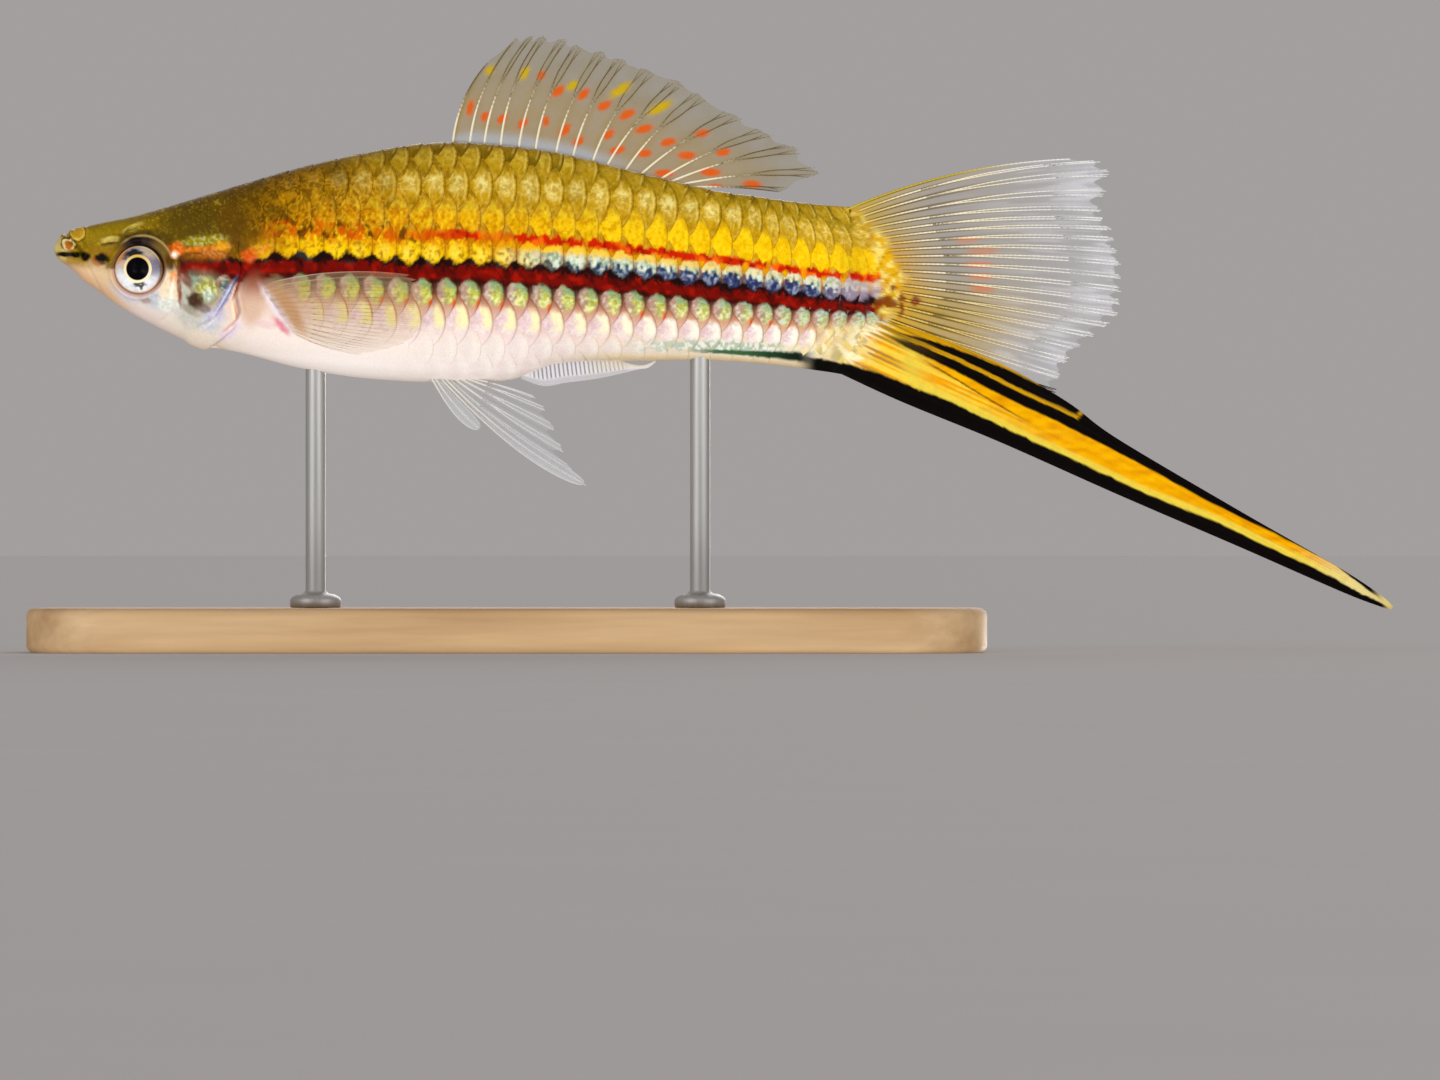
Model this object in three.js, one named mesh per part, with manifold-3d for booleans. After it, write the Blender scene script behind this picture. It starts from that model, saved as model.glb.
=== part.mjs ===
// A male green swordtail, life size, swimming above a flat base on two short rods.
// Millimetres, +Z up. The snout points to -X, the tail to +X, and the fish's left side to -Y.
// The fish is drawn in its own frame: x runs back from the tip of the snout, z up from its level.
import * as THREE from "three";
import { mergeVertices } from "three/addons/utils/BufferGeometryUtils.js";
import Module from "manifold-3d";

const wasm = await Module();
wasm.setup();

// Driving dimensions
const GAP = 0.3;
const BODY_LENGTH = 75.2;
const NOSE_RADIUS = 1.3;
const AROUND = 34;
const HEAD_END = 17.5;
const HEAD_STEP = 1.05;
const TRUNK_STEP = 1.9;
const SNOUT_TO_FLOOR = 36.2;
const BASE_CENTRE_X = 40.8;

// Profiles of the body as [x, value]: back and belly heights, height of the widest place, half width.
const BACK = [
  [0, 1.15],
  [0.8, 1.25],
  [1.4, 1.5],
  [2.3, 1.95],
  [4.2, 2.42],
  [7.8, 3.2],
  [13.9, 5.0],
  [22, 7.45],
  [31, 9.35],
  [36, 9.72],
  [44.6, 8.9],
  [53.6, 6.75],
  [60, 5.3],
  [67, 4.5],
  [75.2, 3.9],
];
const BELLY = [
  [0, -1.05],
  [1.1, -1.4],
  [1.9, -2.0],
  [2.6, -2.75],
  [3.7, -3.5],
  [5.6, -4.9],
  [8.6, -6.6],
  [13.1, -8.7],
  [14.6, -8.85],
  [17, -9.3],
  [22, -10.6],
  [28, -11.55],
  [36, -11.95],
  [41, -11.7],
  [43, -11.0],
  [45, -10.3],
  [48, -10.02],
  [59, -10.0],
  [67, -10.5],
  [75.2, -11.2],
];
const WIDEST = [
  [0, 0],
  [4.4, -0.9],
  [12, -1.62],
  [24, -1.6],
  [35.6, -2.0],
  [53.9, -3.15],
  [67, -3.7],
  [75.2, -3.9],
];
const HALF_WIDTH = [
  [0, 1.75],
  [2.2, 2.2],
  [4.4, 2.9],
  [7.8, 3.95],
  [11, 4.55],
  [17, 5.15],
  [25, 5.5],
  [33, 5.35],
  [42, 4.6],
  [52, 3.55],
  [62, 2.65],
  [69, 2.05],
  [72.5, 1.6],
  [75.2, 0.8],
];
// Squareness of the section above and below its widest place, where 2 is an ellipse.
const UPPER_SQUARENESS = [
  [0, 2.6],
  [7.8, 3.1],
  [14, 2.4],
  [26, 2.05],
  [60, 2.1],
  [75.2, 2.5],
];
const LOWER_SQUARENESS = [
  [0, 2.4],
  [8, 1.95],
  [16, 1.9],
  [32, 2.15],
  [48, 1.9],
  [75.2, 2.3],
];

// The scaly end of the tail is an arc of this radius, which the rays of the tail fin leave.
const TAIL_ARC = { x: 63.1, z: -3.4, radius: 11.1 };
const FAN_TOP_DEG = 43;
const FAN_SPLIT_DEG = -14;

const EYE = { x: 7.75, z: -1.75, radius: 2.28, bulge: 1.5, proud: 0.55, turn_deg: 7 };
const NOSTRILS = [
  { x: 5.2, z: 0.8 },
  { x: 7.1, z: 1.95 },
];
const NOSTRIL_SIZE = { length: 0.6, depth: 0.4, height: 0.26 };
const COVER = { thickness: 1.0, proud: 0.16 };
const LIP = { proud: 0.24, width: 0.72 };

// Fins: thickness of the membrane, and half the width of a ray's ridge as a share of their pitch.
const MEMBRANE = 0.5;
const RIDGE_SHARE = 0.22;
const ROD = { radius: 0.9, depth: 3.0, collarRadius: 2.3, collarHeight: 1.0, seat: 2.4 };
const ROD_X = [23.5, 58.1];
const BASE = { length: 86, width: 34, thickness: 4, corner: 9, bevel: 0.6 };

// Smooth value at x of a profile given as [x, value] points.
function along(points, x) {
  const last = points.length - 1;
  if (x <= points[0][0]) return points[0][1];
  if (x >= points[last][0]) return points[last][1];
  const i = points.findIndex(([at]) => at > x) - 1;
  const slope = (a, b) => (points[b][1] - points[a][1]) / (points[b][0] - points[a][0]);
  const tangent = (k) => slope(Math.max(k - 1, 0), Math.min(k + 1, last));
  const width = points[i + 1][0] - points[i][0];
  const t = (x - points[i][0]) / width;
  const rise = t * t * (3 - 2 * t);
  const start = t * (1 - t) * (1 - t) * width * tangent(i);
  const end = t * t * (t - 1) * width * tangent(i + 1);
  return points[i][1] * (1 - rise) + points[i + 1][1] * rise + start + end;
}

// A triangle mesh from points and index triples.
function geometryOf(points, triangles) {
  const geometry = new THREE.BufferGeometry().setFromPoints(points);
  geometry.setIndex(triangles);
  return geometry;
}

// A closed three.js geometry as a solid that can be cut and joined.
function solidOf(geometry) {
  const bare = geometry.clone();
  bare.deleteAttribute("normal");
  bare.deleteAttribute("uv");
  const merged = mergeVertices(bare, 1e-4);
  const vertProperties = merged.getAttribute("position").array;
  const triVerts = new Uint32Array(merged.index.array);
  return new wasm.Manifold(new wasm.Mesh({ numProp: 3, vertProperties, triVerts }));
}

// The largest closed body of a solid.
function largest(solid) {
  return solid.decompose().reduce((a, b) => (b.volume() > a.volume() ? b : a));
}

// A solid as a named three.js mesh.
function meshOf(name, solid, material) {
  const { vertProperties, triVerts } = solid.getMesh();
  const geometry = new THREE.BufferGeometry();
  geometry.setAttribute("position", new THREE.BufferAttribute(vertProperties, 3));
  geometry.setIndex(new THREE.BufferAttribute(triVerts, 1));
  geometry.computeVertexNormals();
  const mesh = new THREE.Mesh(geometry, material);
  mesh.name = name;
  return mesh;
}

function finish(color, roughness, metalness) {
  return new THREE.MeshStandardMaterial({ color, roughness, metalness });
}

// Power of a number that keeps its sign.
function signedPower(value, power) {
  return Math.sign(value) * Math.abs(value) ** power;
}

// Half sizes of the body's section at x, grown outwards by a margin.
function sectionAt(x, margin) {
  const back = 1 - Math.min(x / NOSE_RADIUS, 1);
  const round = Math.sqrt(Math.max(1 - back * back, 0));
  const middle = along(WIDEST, x) * round;
  return {
    middle,
    up: (along(BACK, x) - along(WIDEST, x)) * round + margin,
    down: (along(WIDEST, x) - along(BELLY, x)) * round + margin,
    side: along(HALF_WIDTH, x) * round + margin,
    upperPower: 2 / along(UPPER_SQUARENESS, x),
    lowerPower: 2 / along(LOWER_SQUARENESS, x),
  };
}

// How far the body's surface stands from the middle plane at a place of the side view.
function flankAt(x, z) {
  const s = sectionAt(x, 0);
  const above = z > s.middle;
  const power = above ? s.upperPower : s.lowerPower;
  const height = Math.min(Math.abs(z - s.middle) / (above ? s.up : s.down), 1);
  return s.side * (1 - height ** (2 / power)) ** (power / 2);
}

// The whole body as one solid, with its end cut to the arc of the tail.
function bodySolid(margin = 0) {
  const places = [0.03, 0.15, 0.4, 0.8];
  for (let x = NOSE_RADIUS; x < HEAD_END; x += HEAD_STEP) places.push(x);
  for (let x = HEAD_END; x < BODY_LENGTH; x += TRUNK_STEP) places.push(x);
  places.push(BODY_LENGTH);
  const points = [];
  for (const x of places) {
    const s = sectionAt(x, margin);
    const shift = margin * Math.max(1 - x / NOSE_RADIUS, 0);
    for (let k = 0; k < AROUND; k += 1) {
      const angle = (k / AROUND) * 2 * Math.PI;
      const rise = Math.sin(angle);
      const power = rise > 0 ? s.upperPower : s.lowerPower;
      const y = s.side * signedPower(Math.cos(angle), power);
      const z = s.middle + (rise > 0 ? s.up : s.down) * signedPower(rise, power);
      points.push(new THREE.Vector3(x - shift, y, z));
    }
  }
  const triangles = [];
  for (let i = 0; i < places.length - 1; i += 1) {
    for (let k = 0; k < AROUND; k += 1) {
      const a = i * AROUND + k;
      const b = i * AROUND + ((k + 1) % AROUND);
      triangles.push(a, b, a + AROUND, b, b + AROUND, a + AROUND);
    }
  }
  const front = points.push(new THREE.Vector3(-margin, 0, 0)) - 1;
  const rear = points.push(new THREE.Vector3(BODY_LENGTH, 0, along(WIDEST, BODY_LENGTH))) - 1;
  const lastRing = (places.length - 1) * AROUND;
  for (let k = 0; k < AROUND; k += 1) {
    const next = (k + 1) % AROUND;
    triangles.push(front, next, k);
    triangles.push(rear, lastRing + k, lastRing + next);
  }
  const whole = solidOf(geometryOf(points, triangles));
  return whole.intersect(tailArc(margin));
}

// A wide block that ends at the tail's arc, and keeps all that lies ahead of it.
function tailArc(margin) {
  const radius = TAIL_ARC.radius + margin;
  const outline = new THREE.Shape();
  outline.moveTo(-5, -30);
  outline.lineTo(TAIL_ARC.x, -30);
  outline.lineTo(TAIL_ARC.x, TAIL_ARC.z - radius);
  outline.absarc(TAIL_ARC.x, TAIL_ARC.z, radius, -Math.PI / 2, Math.PI / 2, false);
  outline.lineTo(TAIL_ARC.x, 30);
  outline.lineTo(-5, 30);
  outline.closePath();
  return acrossBody(outline, -20, 20, 14);
}

// A shape of the side view, x to the right and z up, made solid from one y to another.
function acrossBody(shape, fromY, toY, curveSegments = 6) {
  const geometry = new THREE.ExtrudeGeometry(shape, {
    depth: toY - fromY,
    bevelEnabled: false,
    curveSegments,
  });
  geometry.rotateX(Math.PI / 2);
  geometry.translate(0, toY, 0);
  return solidOf(geometry);
}

// A smooth line through points of the side view, as evenly numbered steps.
function smoothLine(points, steps) {
  const flat = points.map(([x, z]) => new THREE.Vector2(x, z));
  return new THREE.SplineCurve(flat).getPoints(steps);
}

// The line moved sideways by a distance, to its left as it runs.
function offsetLine(line, distance) {
  return line.map((point, i) => {
    const before = line[Math.max(i - 1, 0)];
    const after = line[Math.min(i + 1, line.length - 1)];
    const way = after.clone().sub(before).normalize();
    return new THREE.Vector2(point.x - way.y * distance, point.y + way.x * distance);
  });
}

// A wall across the body along a line of the side view, thin enough by default to part it.
function wallAlong(points, steps, halfWidth = GAP / 2) {
  const line = smoothLine(points, steps);
  const left = offsetLine(line, halfWidth);
  const right = offsetLine(line, -halfWidth).reverse();
  return acrossBody(new THREE.Shape([...left, ...right]), -20, 20);
}

// The room of a gill cover on one side, grown by a margin, up to the gill opening.
function coverPrism(margin, side) {
  const front = offsetLine(smoothLine(COVER_FRONT, 22), -margin);
  const rear = smoothLine(GILL_OPENING, 18).map((p) => p.add(new THREE.Vector2(margin - GAP, 0)));
  const ahead = new THREE.Shape([...rear, new THREE.Vector2(5, -10.6), new THREE.Vector2(5, 9.5)]);
  const [fromY, toY] = side < 0 ? [-20, -0.8] : [0.8, 20];
  return acrossBody(new THREE.Shape(front), fromY, toY).intersect(acrossBody(ahead, -20, 20));
}

// Lines of the side view that part the body, each from the back to the belly
const MOUTH_AND_JAW = [
  [0.7, 2.9],
  [1.1, 1.5],
  [1.5, 0.75],
  [2.15, 0.3],
  [2.55, -0.5],
  [3.0, -1.6],
  [3.7, -3.2],
  [4.1, -5.2],
];
const LIP_LINE = MOUTH_AND_JAW.slice(0, 5);
const GILL_OPENING = [
  [16.0, 9.5],
  [16.4, 3.0],
  [17.0, -1.2],
  [16.85, -2.8],
  [16.5, -4.1],
  [16.8, -5.6],
  [16.3, -7.1],
  [15.0, -8.2],
  [13.2, -9.2],
  [12.6, -10.6],
];
const TAIL_STEM_CUT = [
  [55.5, 9],
  [56.3, 0],
  [55.5, -12],
];

// Front edge of the gill cover, from its top to its foot; its rear edge is the gill opening.
const COVER_FRONT = [
  [17.6, -0.9],
  [15.6, -0.55],
  [13.4, -0.8],
  [12.0, -1.7],
  [11.5, -3.6],
  [11.9, -5.6],
  [12.9, -7.1],
  [14.4, -8.0],
  [16.2, -8.3],
];

// An ellipsoid seated in the head, its short axis turned out from the side.
function eyeSolid(side, margin) {
  const geometry = new THREE.SphereGeometry(1, 18, 11);
  geometry.rotateX(Math.PI / 2);
  geometry.scale(EYE.radius + margin, EYE.bulge + margin, EYE.radius + margin);
  geometry.rotateZ(side * THREE.MathUtils.degToRad(EYE.turn_deg));
  const out = flankAt(EYE.x, EYE.z) + EYE.proud - EYE.bulge;
  geometry.translate(EYE.x, side * out, EYE.z);
  return solidOf(geometry);
}

// The lips: a low rim raised along both sides of the line of the mouth.
function lipsSolid() {
  return bodySolid(LIP.proud).intersect(wallAlong(LIP_LINE, 8, LIP.width));
}

function nostrilSolid({ x, z }, side) {
  const geometry = new THREE.SphereGeometry(1, 9, 6);
  geometry.scale(NOSTRIL_SIZE.length, NOSTRIL_SIZE.depth, NOSTRIL_SIZE.height);
  geometry.translate(x, side * flankAt(x, z), z);
  return solidOf(geometry);
}

function rodHole(x) {
  const belly = along(BELLY, x);
  const geometry = new THREE.CylinderGeometry(ROD.radius + GAP, ROD.radius + GAP, 8, 16);
  geometry.rotateX(Math.PI / 2);
  geometry.translate(x, 0, belly + ROD.depth + GAP - 4);
  return solidOf(geometry);
}

// The piece of a parted solid that holds the middle of its own box nearest to a place.
function pieceNear(pieces, x, z) {
  const distance = (piece) => {
    const { min, max } = piece.boundingBox();
    return Math.hypot((min[0] + max[0]) / 2 - x, (min[2] + max[2]) / 2 - z);
  };
  return pieces.reduce((a, b) => (distance(b) < distance(a) ? b : a));
}

// The body parted into head, lower jaw, trunk and tail stem, with both gill covers.
function partedBody() {
  const sides = [-1, 1];
  const inner = bodySolid(-COVER.thickness);
  const innermost = bodySolid(-COVER.thickness - GAP);
  const proud = bodySolid(COVER.proud);
  let whole = bodySolid().add(lipsSolid());
  const covers = sides.map((side) =>
    largest(proud.intersect(coverPrism(0, side)).subtract(inner)),
  );
  for (const side of sides) {
    whole = whole.subtract(eyeSolid(side, GAP));
    whole = whole.subtract(coverPrism(GAP, side).subtract(innermost));
    for (const nostril of NOSTRILS) whole = whole.subtract(nostrilSolid(nostril, side));
  }
  for (const x of ROD_X) whole = whole.subtract(rodHole(x));
  whole = whole.subtract(wallAlong(MOUTH_AND_JAW, 14));
  whole = whole.subtract(wallAlong(GILL_OPENING, 18));
  whole = whole.subtract(wallAlong(TAIL_STEM_CUT, 6));
  const pieces = whole.decompose();
  return {
    lower_jaw: pieceNear(pieces, 2, -2),
    head: pieceNear(pieces, 9, -2),
    torso: pieceNear(pieces, 36, -1),
    tail_stem: pieceNear(pieces, 64, -3),
    gill_cover_left: covers[0],
    gill_cover_right: covers[1],
  };
}

// A fin as a thin plate with its rays raised on both faces.
// place(q, r) gives [x, z] in the fin's plane: q from the first ray to the last, r from root to tip.
// notch is how far the membrane between two rays stops short of their tips, as a share of them.
function finGeometry({ rays, steps, place, ridge, notch = 0.03 }) {
  const pitch = 1 / (rays - 1);
  const columns = [];
  for (let i = 0; i < rays; i += 1) {
    if (i > 0) columns.push({ ray: i, way: -1 });
    columns.push({ ray: i, way: 0 });
    if (i < rays - 1) columns.push({ ray: i, way: 1 });
  }
  const faces = [[], []];
  for (const { ray, way } of columns) {
    for (let k = 0; k <= steps; k += 1) {
      const share = k / steps;
      const r = share * (way === 0 ? 1 : 1 - notch);
      const q = (ray + way * RIDGE_SHARE * (1 - 0.55 * r)) * pitch;
      const [x, z] = place(q, r);
      const raised = way === 0 ? (ridge - MEMBRANE) * (1 - 0.6 * r) : 0;
      const thickness = (MEMBRANE + raised) * (share > 0.9 ? 0.75 : 1);
      faces[0].push(new THREE.Vector3(x, thickness / 2, z));
      faces[1].push(new THREE.Vector3(x, -thickness / 2, z));
    }
  }
  const rows = steps + 1;
  const count = columns.length * rows;
  const triangles = [];
  const quad = (a, b, c, d) => triangles.push(a, b, c, a, c, d);
  for (let c = 0; c < columns.length - 1; c += 1) {
    for (let k = 0; k < steps; k += 1) {
      const a = c * rows + k;
      const b = a + rows;
      triangles.push(a, a + 1, b + 1, a, b + 1, b);
      triangles.push(count + a, count + b + 1, count + a + 1);
      triangles.push(count + a, count + b, count + b + 1);
    }
    const root = c * rows;
    const tip = root + steps;
    quad(root, root + rows, count + root + rows, count + root);
    quad(tip + rows, tip, count + tip, count + tip + rows);
  }
  for (let k = 0; k < steps; k += 1) {
    const last = (columns.length - 1) * rows + k;
    quad(k + 1, k, count + k, count + k + 1);
    quad(last, last + 1, count + last + 1, count + last);
  }
  return geometryOf([...faces[0], ...faces[1]], triangles);
}

// A ray as a bowed line from root to tip; bow is its sideways reach as a share of its length.
function bowedRay(root, tip, bow, r) {
  const arch = 4 * bow * r * (1 - r);
  const x = root[0] + (tip[0] - root[0]) * r + (root[1] - tip[1]) * arch;
  const z = root[1] + (tip[1] - root[1]) * r + (tip[0] - root[0]) * arch;
  return [x, z];
}

// A point of a fin's outline at q, from [q, x, z] points.
function outlineAt(points, q) {
  const x = along(points.map(([at, px]) => [at, px]), q);
  const z = along(points.map(([at, , pz]) => [at, pz]), q);
  return [x, z];
}

function tailArcPoint(degrees, inward) {
  const angle = THREE.MathUtils.degToRad(degrees);
  const radius = TAIL_ARC.radius - inward;
  return [TAIL_ARC.x + radius * Math.cos(angle), TAIL_ARC.z + radius * Math.sin(angle)];
}

// Tips of the rays as [q, x, z], from the first ray of each fin to its last
const DORSAL_TIPS = [
  [0, 39.3, 17.0],
  [0.08, 41.8, 19.1],
  [0.2, 44.6, 19.3],
  [0.38, 49.6, 17.9],
  [0.55, 54.8, 15.3],
  [0.7, 60.2, 12.5],
  [0.85, 66.0, 9.6],
  [0.94, 68.8, 7.1],
  [1, 65.4, 5.2],
];
const CAUDAL_TIPS = [
  [0, 91.6, 8.2],
  [0.08, 94.9, 7.6],
  [0.2, 94.3, 3.9],
  [0.33, 95.2, 1.7],
  [0.46, 95.9, -0.9],
  [0.6, 96.1, -4.0],
  [0.7, 95.6, -6.1],
  [0.8, 93.3, -7.9],
  [0.9, 91.2, -10.1],
  [1, 90.3, -12.9],
];
const PECTORAL_TIPS = [
  [0, 32.6, -2.3],
  [0.25, 34.4, -3.9],
  [0.5, 34.0, -6.2],
  [0.75, 31.9, -8.5],
  [1, 27.6, -9.6],
];
const PELVIC_TIPS = [
  [0, 43.2, -13.2],
  [0.25, 44.4, -14.7],
  [0.5, 45.4, -17.0],
  [0.75, 46.4, -19.4],
  [1, 47.9, -21.3],
];
const SWORD_UPPER = [
  [72.6, -6.0],
  [83.7, -10.35],
  [90.7, -14.0],
  [95.7, -17.2],
  [106.8, -23.55],
  [115.8, -28.7],
  [119.4, -31.1],
  [120.5, -32.1],
];
const SWORD_LOWER = [
  [69.6, -10.6],
  [76.1, -13.6],
  [85.1, -17.3],
  [95.9, -22.1],
  [106.7, -26.75],
  [115.7, -30.7],
  [119.2, -32.05],
  [120.3, -32.35],
];

function dorsalPlace(q, r) {
  const x = 35.9 + 19.2 * q ** 0.95;
  const root = [x, along(BACK, x) - 0.6];
  const bow = 0.09 - 0.06 * q;
  return bowedRay(root, outlineAt(DORSAL_TIPS, q), bow, r);
}

function caudalPlace(q, r) {
  const degrees = FAN_TOP_DEG + (FAN_SPLIT_DEG - FAN_TOP_DEG) * q;
  const bow = 0.05 * (1 - q) - 0.015 * q;
  return bowedRay(tailArcPoint(degrees, 0.8), outlineAt(CAUDAL_TIPS, q), bow, r);
}

function swordPlace(q, r) {
  const upper = new THREE.SplineCurve(SWORD_UPPER.map(([x, z]) => new THREE.Vector2(x, z)));
  const lower = new THREE.SplineCurve(SWORD_LOWER.map(([x, z]) => new THREE.Vector2(x, z)));
  const point = upper.getPoint(r).lerp(lower.getPoint(r), q);
  return [point.x, point.y];
}

function pectoralPlace(q, r) {
  const root = [18.7 + 2.9 * q, -3.2 - 4.4 * q];
  return bowedRay(root, outlineAt(PECTORAL_TIPS, q), 0.05 - 0.1 * q, r);
}

function pelvicPlace(q, r) {
  const root = [37.2 - 2.6 * q, -11.2 - 0.3 * (1 - q)];
  return bowedRay(root, outlineAt(PELVIC_TIPS, q), 0.02 - 0.06 * q, r);
}

// The short first ray of a pelvic fin, a slim blade with a round tip.
function pelvicLobePlace(q, r) {
  const width = 1.7 * Math.sin(Math.PI * (0.3 + 0.64 * r)) ** 0.6;
  const middle = bowedRay([34.0, -11.1], [38.2, -16.2], -0.04, r);
  return [middle[0] + (0.5 - q) * width * 0.77, middle[1] + (0.5 - q) * width * 0.63];
}

// The anal fin of the male: a jointed rod of this length, laid back along the belly.
const GONOPODIUM_UPPER = [
  [42.2, -10.4],
  [46.4, -10.75],
  [51.3, -10.45],
  [53.1, -10.35],
  [54.1, -10.3],
];
const GONOPODIUM_LOWER = [
  [42.6, -11.7],
  [44.1, -12.3],
  [48.2, -11.85],
  [51.4, -11.2],
  [54.0, -10.65],
];
function gonopodiumPlace(q, r) {
  const upper = new THREE.SplineCurve(GONOPODIUM_UPPER.map(([x, z]) => new THREE.Vector2(x, z)));
  const lower = new THREE.SplineCurve(GONOPODIUM_LOWER.map(([x, z]) => new THREE.Vector2(x, z)));
  const point = lower.getPoint(q).lerp(upper.getPoint(q), r);
  return [point.x, point.y];
}

// A fin cut back from the body, so that its root follows the skin.
function rooted(geometry, grownBody) {
  return largest(solidOf(geometry).subtract(grownBody));
}

// All that lies lower than just above the sword, which the tail fin stays clear of.
function belowSwordTop() {
  const edge = offsetLine(smoothLine(SWORD_UPPER, 14), GAP);
  const shape = new THREE.Shape([...edge, new THREE.Vector2(110, -40), new THREE.Vector2(65, -40)]);
  return acrossBody(shape, -2, 2);
}

// A paired fin: turned out from the flank about its root, and moved to the side.
function pairedFin(side, geometries, { pivotX, pivotZ, out, turn_deg, splay_deg }, grownBody) {
  const place = new THREE.Matrix4()
    .makeTranslation(pivotX, side * out, pivotZ)
    .multiply(new THREE.Matrix4().makeRotationZ(side * THREE.MathUtils.degToRad(turn_deg)))
    .multiply(new THREE.Matrix4().makeRotationX(side * THREE.MathUtils.degToRad(splay_deg)))
    .multiply(new THREE.Matrix4().makeTranslation(-pivotX, 0, -pivotZ));
  const solids = geometries.map((geometry) => solidOf(geometry.clone().applyMatrix4(place)));
  const joined = solids.reduce((a, b) => a.add(b));
  return largest(joined.subtract(grownBody));
}

// Finishes from the fish
const OLIVE_GOLD = finish(0x9a7412, 0.42, 0.15);
const GOLD = finish(0xc79a1c, 0.4, 0.2);
const PALE_PINK = finish(0xd8c2b4, 0.42, 0.1);
const SILVER = finish(0xb7b4c0, 0.25, 0.2);
const CLEAR_FIN = finish(0xb9b6a8, 0.35, 0);
const SWORD_YELLOW = finish(0xe8b400, 0.38, 0);
const ASH_WOOD = finish(0xc9ae86, 0.55, 0);
const STEEL = finish(0xb8bab8, 0.3, 0.9);

const fish = new THREE.Group();
fish.position.set(-BASE_CENTRE_X, 0, SNOUT_TO_FLOOR);

const BODY_FINISHES = {
  lower_jaw: PALE_PINK,
  head: OLIVE_GOLD,
  torso: GOLD,
  tail_stem: GOLD,
  gill_cover_left: PALE_PINK,
  gill_cover_right: PALE_PINK,
};
for (const [name, solid] of Object.entries(partedBody())) {
  fish.add(meshOf(name, solid, BODY_FINISHES[name]));
}
for (const [name, side] of [["eye_left", -1], ["eye_right", 1]]) {
  fish.add(meshOf(name, eyeSolid(side, 0), SILVER));
}

// Fins on the middle plane
const grownBody = bodySolid(GAP);
const dorsal = finGeometry({ rays: 13, steps: 6, place: dorsalPlace, ridge: 0.85 });
fish.add(meshOf("dorsal_fin", rooted(dorsal, grownBody), CLEAR_FIN));
const caudal = finGeometry({ rays: 18, steps: 8, place: caudalPlace, ridge: 0.9 });
const keptClear = grownBody.add(belowSwordTop());
fish.add(meshOf("caudal_fin", rooted(caudal, keptClear), CLEAR_FIN));
const sword = finGeometry({ rays: 6, steps: 15, place: swordPlace, ridge: 0.95, notch: 0 });
fish.add(meshOf("sword", rooted(sword, grownBody), SWORD_YELLOW));
const gonopodium = finGeometry({
  rays: 16,
  steps: 2,
  place: gonopodiumPlace,
  ridge: 0.95,
  notch: 0,
});
fish.add(meshOf("gonopodium", rooted(gonopodium, grownBody), CLEAR_FIN));

// Paired fins
const pectoral = finGeometry({ rays: 10, steps: 5, place: pectoralPlace, ridge: 0.75 });
const pelvicFan = finGeometry({ rays: 6, steps: 6, place: pelvicPlace, ridge: 0.8 });
const pelvicLobe = finGeometry({ rays: 3, steps: 6, place: pelvicLobePlace, ridge: 0.8, notch: 0 });
for (const [label, side] of [["left", -1], ["right", 1]]) {
  const pectoralSeat = {
    pivotX: 20.2,
    pivotZ: -5.4,
    out: flankAt(20.2, -5.4) + 0.1,
    turn_deg: 12,
    splay_deg: -12,
  };
  const pelvicSeat = { pivotX: 36.5, pivotZ: -11.3, out: 1.15, turn_deg: 3, splay_deg: 9 };
  fish.add(
    meshOf(`pectoral_fin_${label}`, pairedFin(side, [pectoral], pectoralSeat, grownBody), CLEAR_FIN),
  );
  fish.add(
    meshOf(
      `pelvic_fin_${label}`,
      pairedFin(side, [pelvicFan, pelvicLobe], pelvicSeat, grownBody),
      CLEAR_FIN,
    ),
  );
}

// The display stand: a flat base with round corners, and two rods that seat in base and belly
const stand = new THREE.Group();

function baseSolid() {
  const x = BASE.length / 2 - BASE.bevel;
  const y = BASE.width / 2 - BASE.bevel;
  const r = BASE.corner;
  const outline = new THREE.Shape();
  outline.moveTo(x, -y + r);
  outline.absarc(x - r, y - r, r, 0, Math.PI / 2, false);
  outline.absarc(-x + r, y - r, r, Math.PI / 2, Math.PI, false);
  outline.absarc(-x + r, -y + r, r, Math.PI, 1.5 * Math.PI, false);
  outline.absarc(x - r, -y + r, r, 1.5 * Math.PI, 2 * Math.PI, false);
  const geometry = new THREE.ExtrudeGeometry(outline, {
    depth: BASE.thickness - 2 * BASE.bevel,
    bevelThickness: BASE.bevel,
    bevelSize: BASE.bevel,
    bevelSegments: 2,
    curveSegments: 5,
  });
  geometry.translate(0, 0, BASE.bevel);
  let solid = solidOf(geometry);
  for (const rodX of ROD_X) {
    const hole = new THREE.CylinderGeometry(ROD.radius + GAP, ROD.radius + GAP, 4, 16);
    hole.rotateX(Math.PI / 2);
    hole.translate(rodX - BASE_CENTRE_X, 0, BASE.thickness - ROD.seat - GAP + 2);
    solid = solid.subtract(solidOf(hole));
  }
  return solid;
}
stand.add(meshOf("stand_base", baseSolid(), ASH_WOOD));

function rodMesh(name, x) {
  const foot = BASE.thickness - ROD.seat;
  const collar = BASE.thickness + GAP;
  const top = SNOUT_TO_FLOOR + along(BELLY, x) + ROD.depth;
  const profile = [
    [0, foot],
    [ROD.radius, foot],
    [ROD.radius, collar],
    [ROD.collarRadius, collar],
    [ROD.collarRadius, collar + ROD.collarHeight * 0.5],
    [ROD.collarRadius - 0.5, collar + ROD.collarHeight],
    [ROD.radius, collar + ROD.collarHeight],
    [ROD.radius, top],
    [0, top],
  ];
  const geometry = new THREE.LatheGeometry(
    profile.map(([radius, z]) => new THREE.Vector2(radius, z)),
    16,
  );
  geometry.rotateX(Math.PI / 2);
  const mesh = new THREE.Mesh(geometry, STEEL);
  mesh.position.set(x - BASE_CENTRE_X, 0, 0);
  mesh.name = name;
  return mesh;
}
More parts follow.
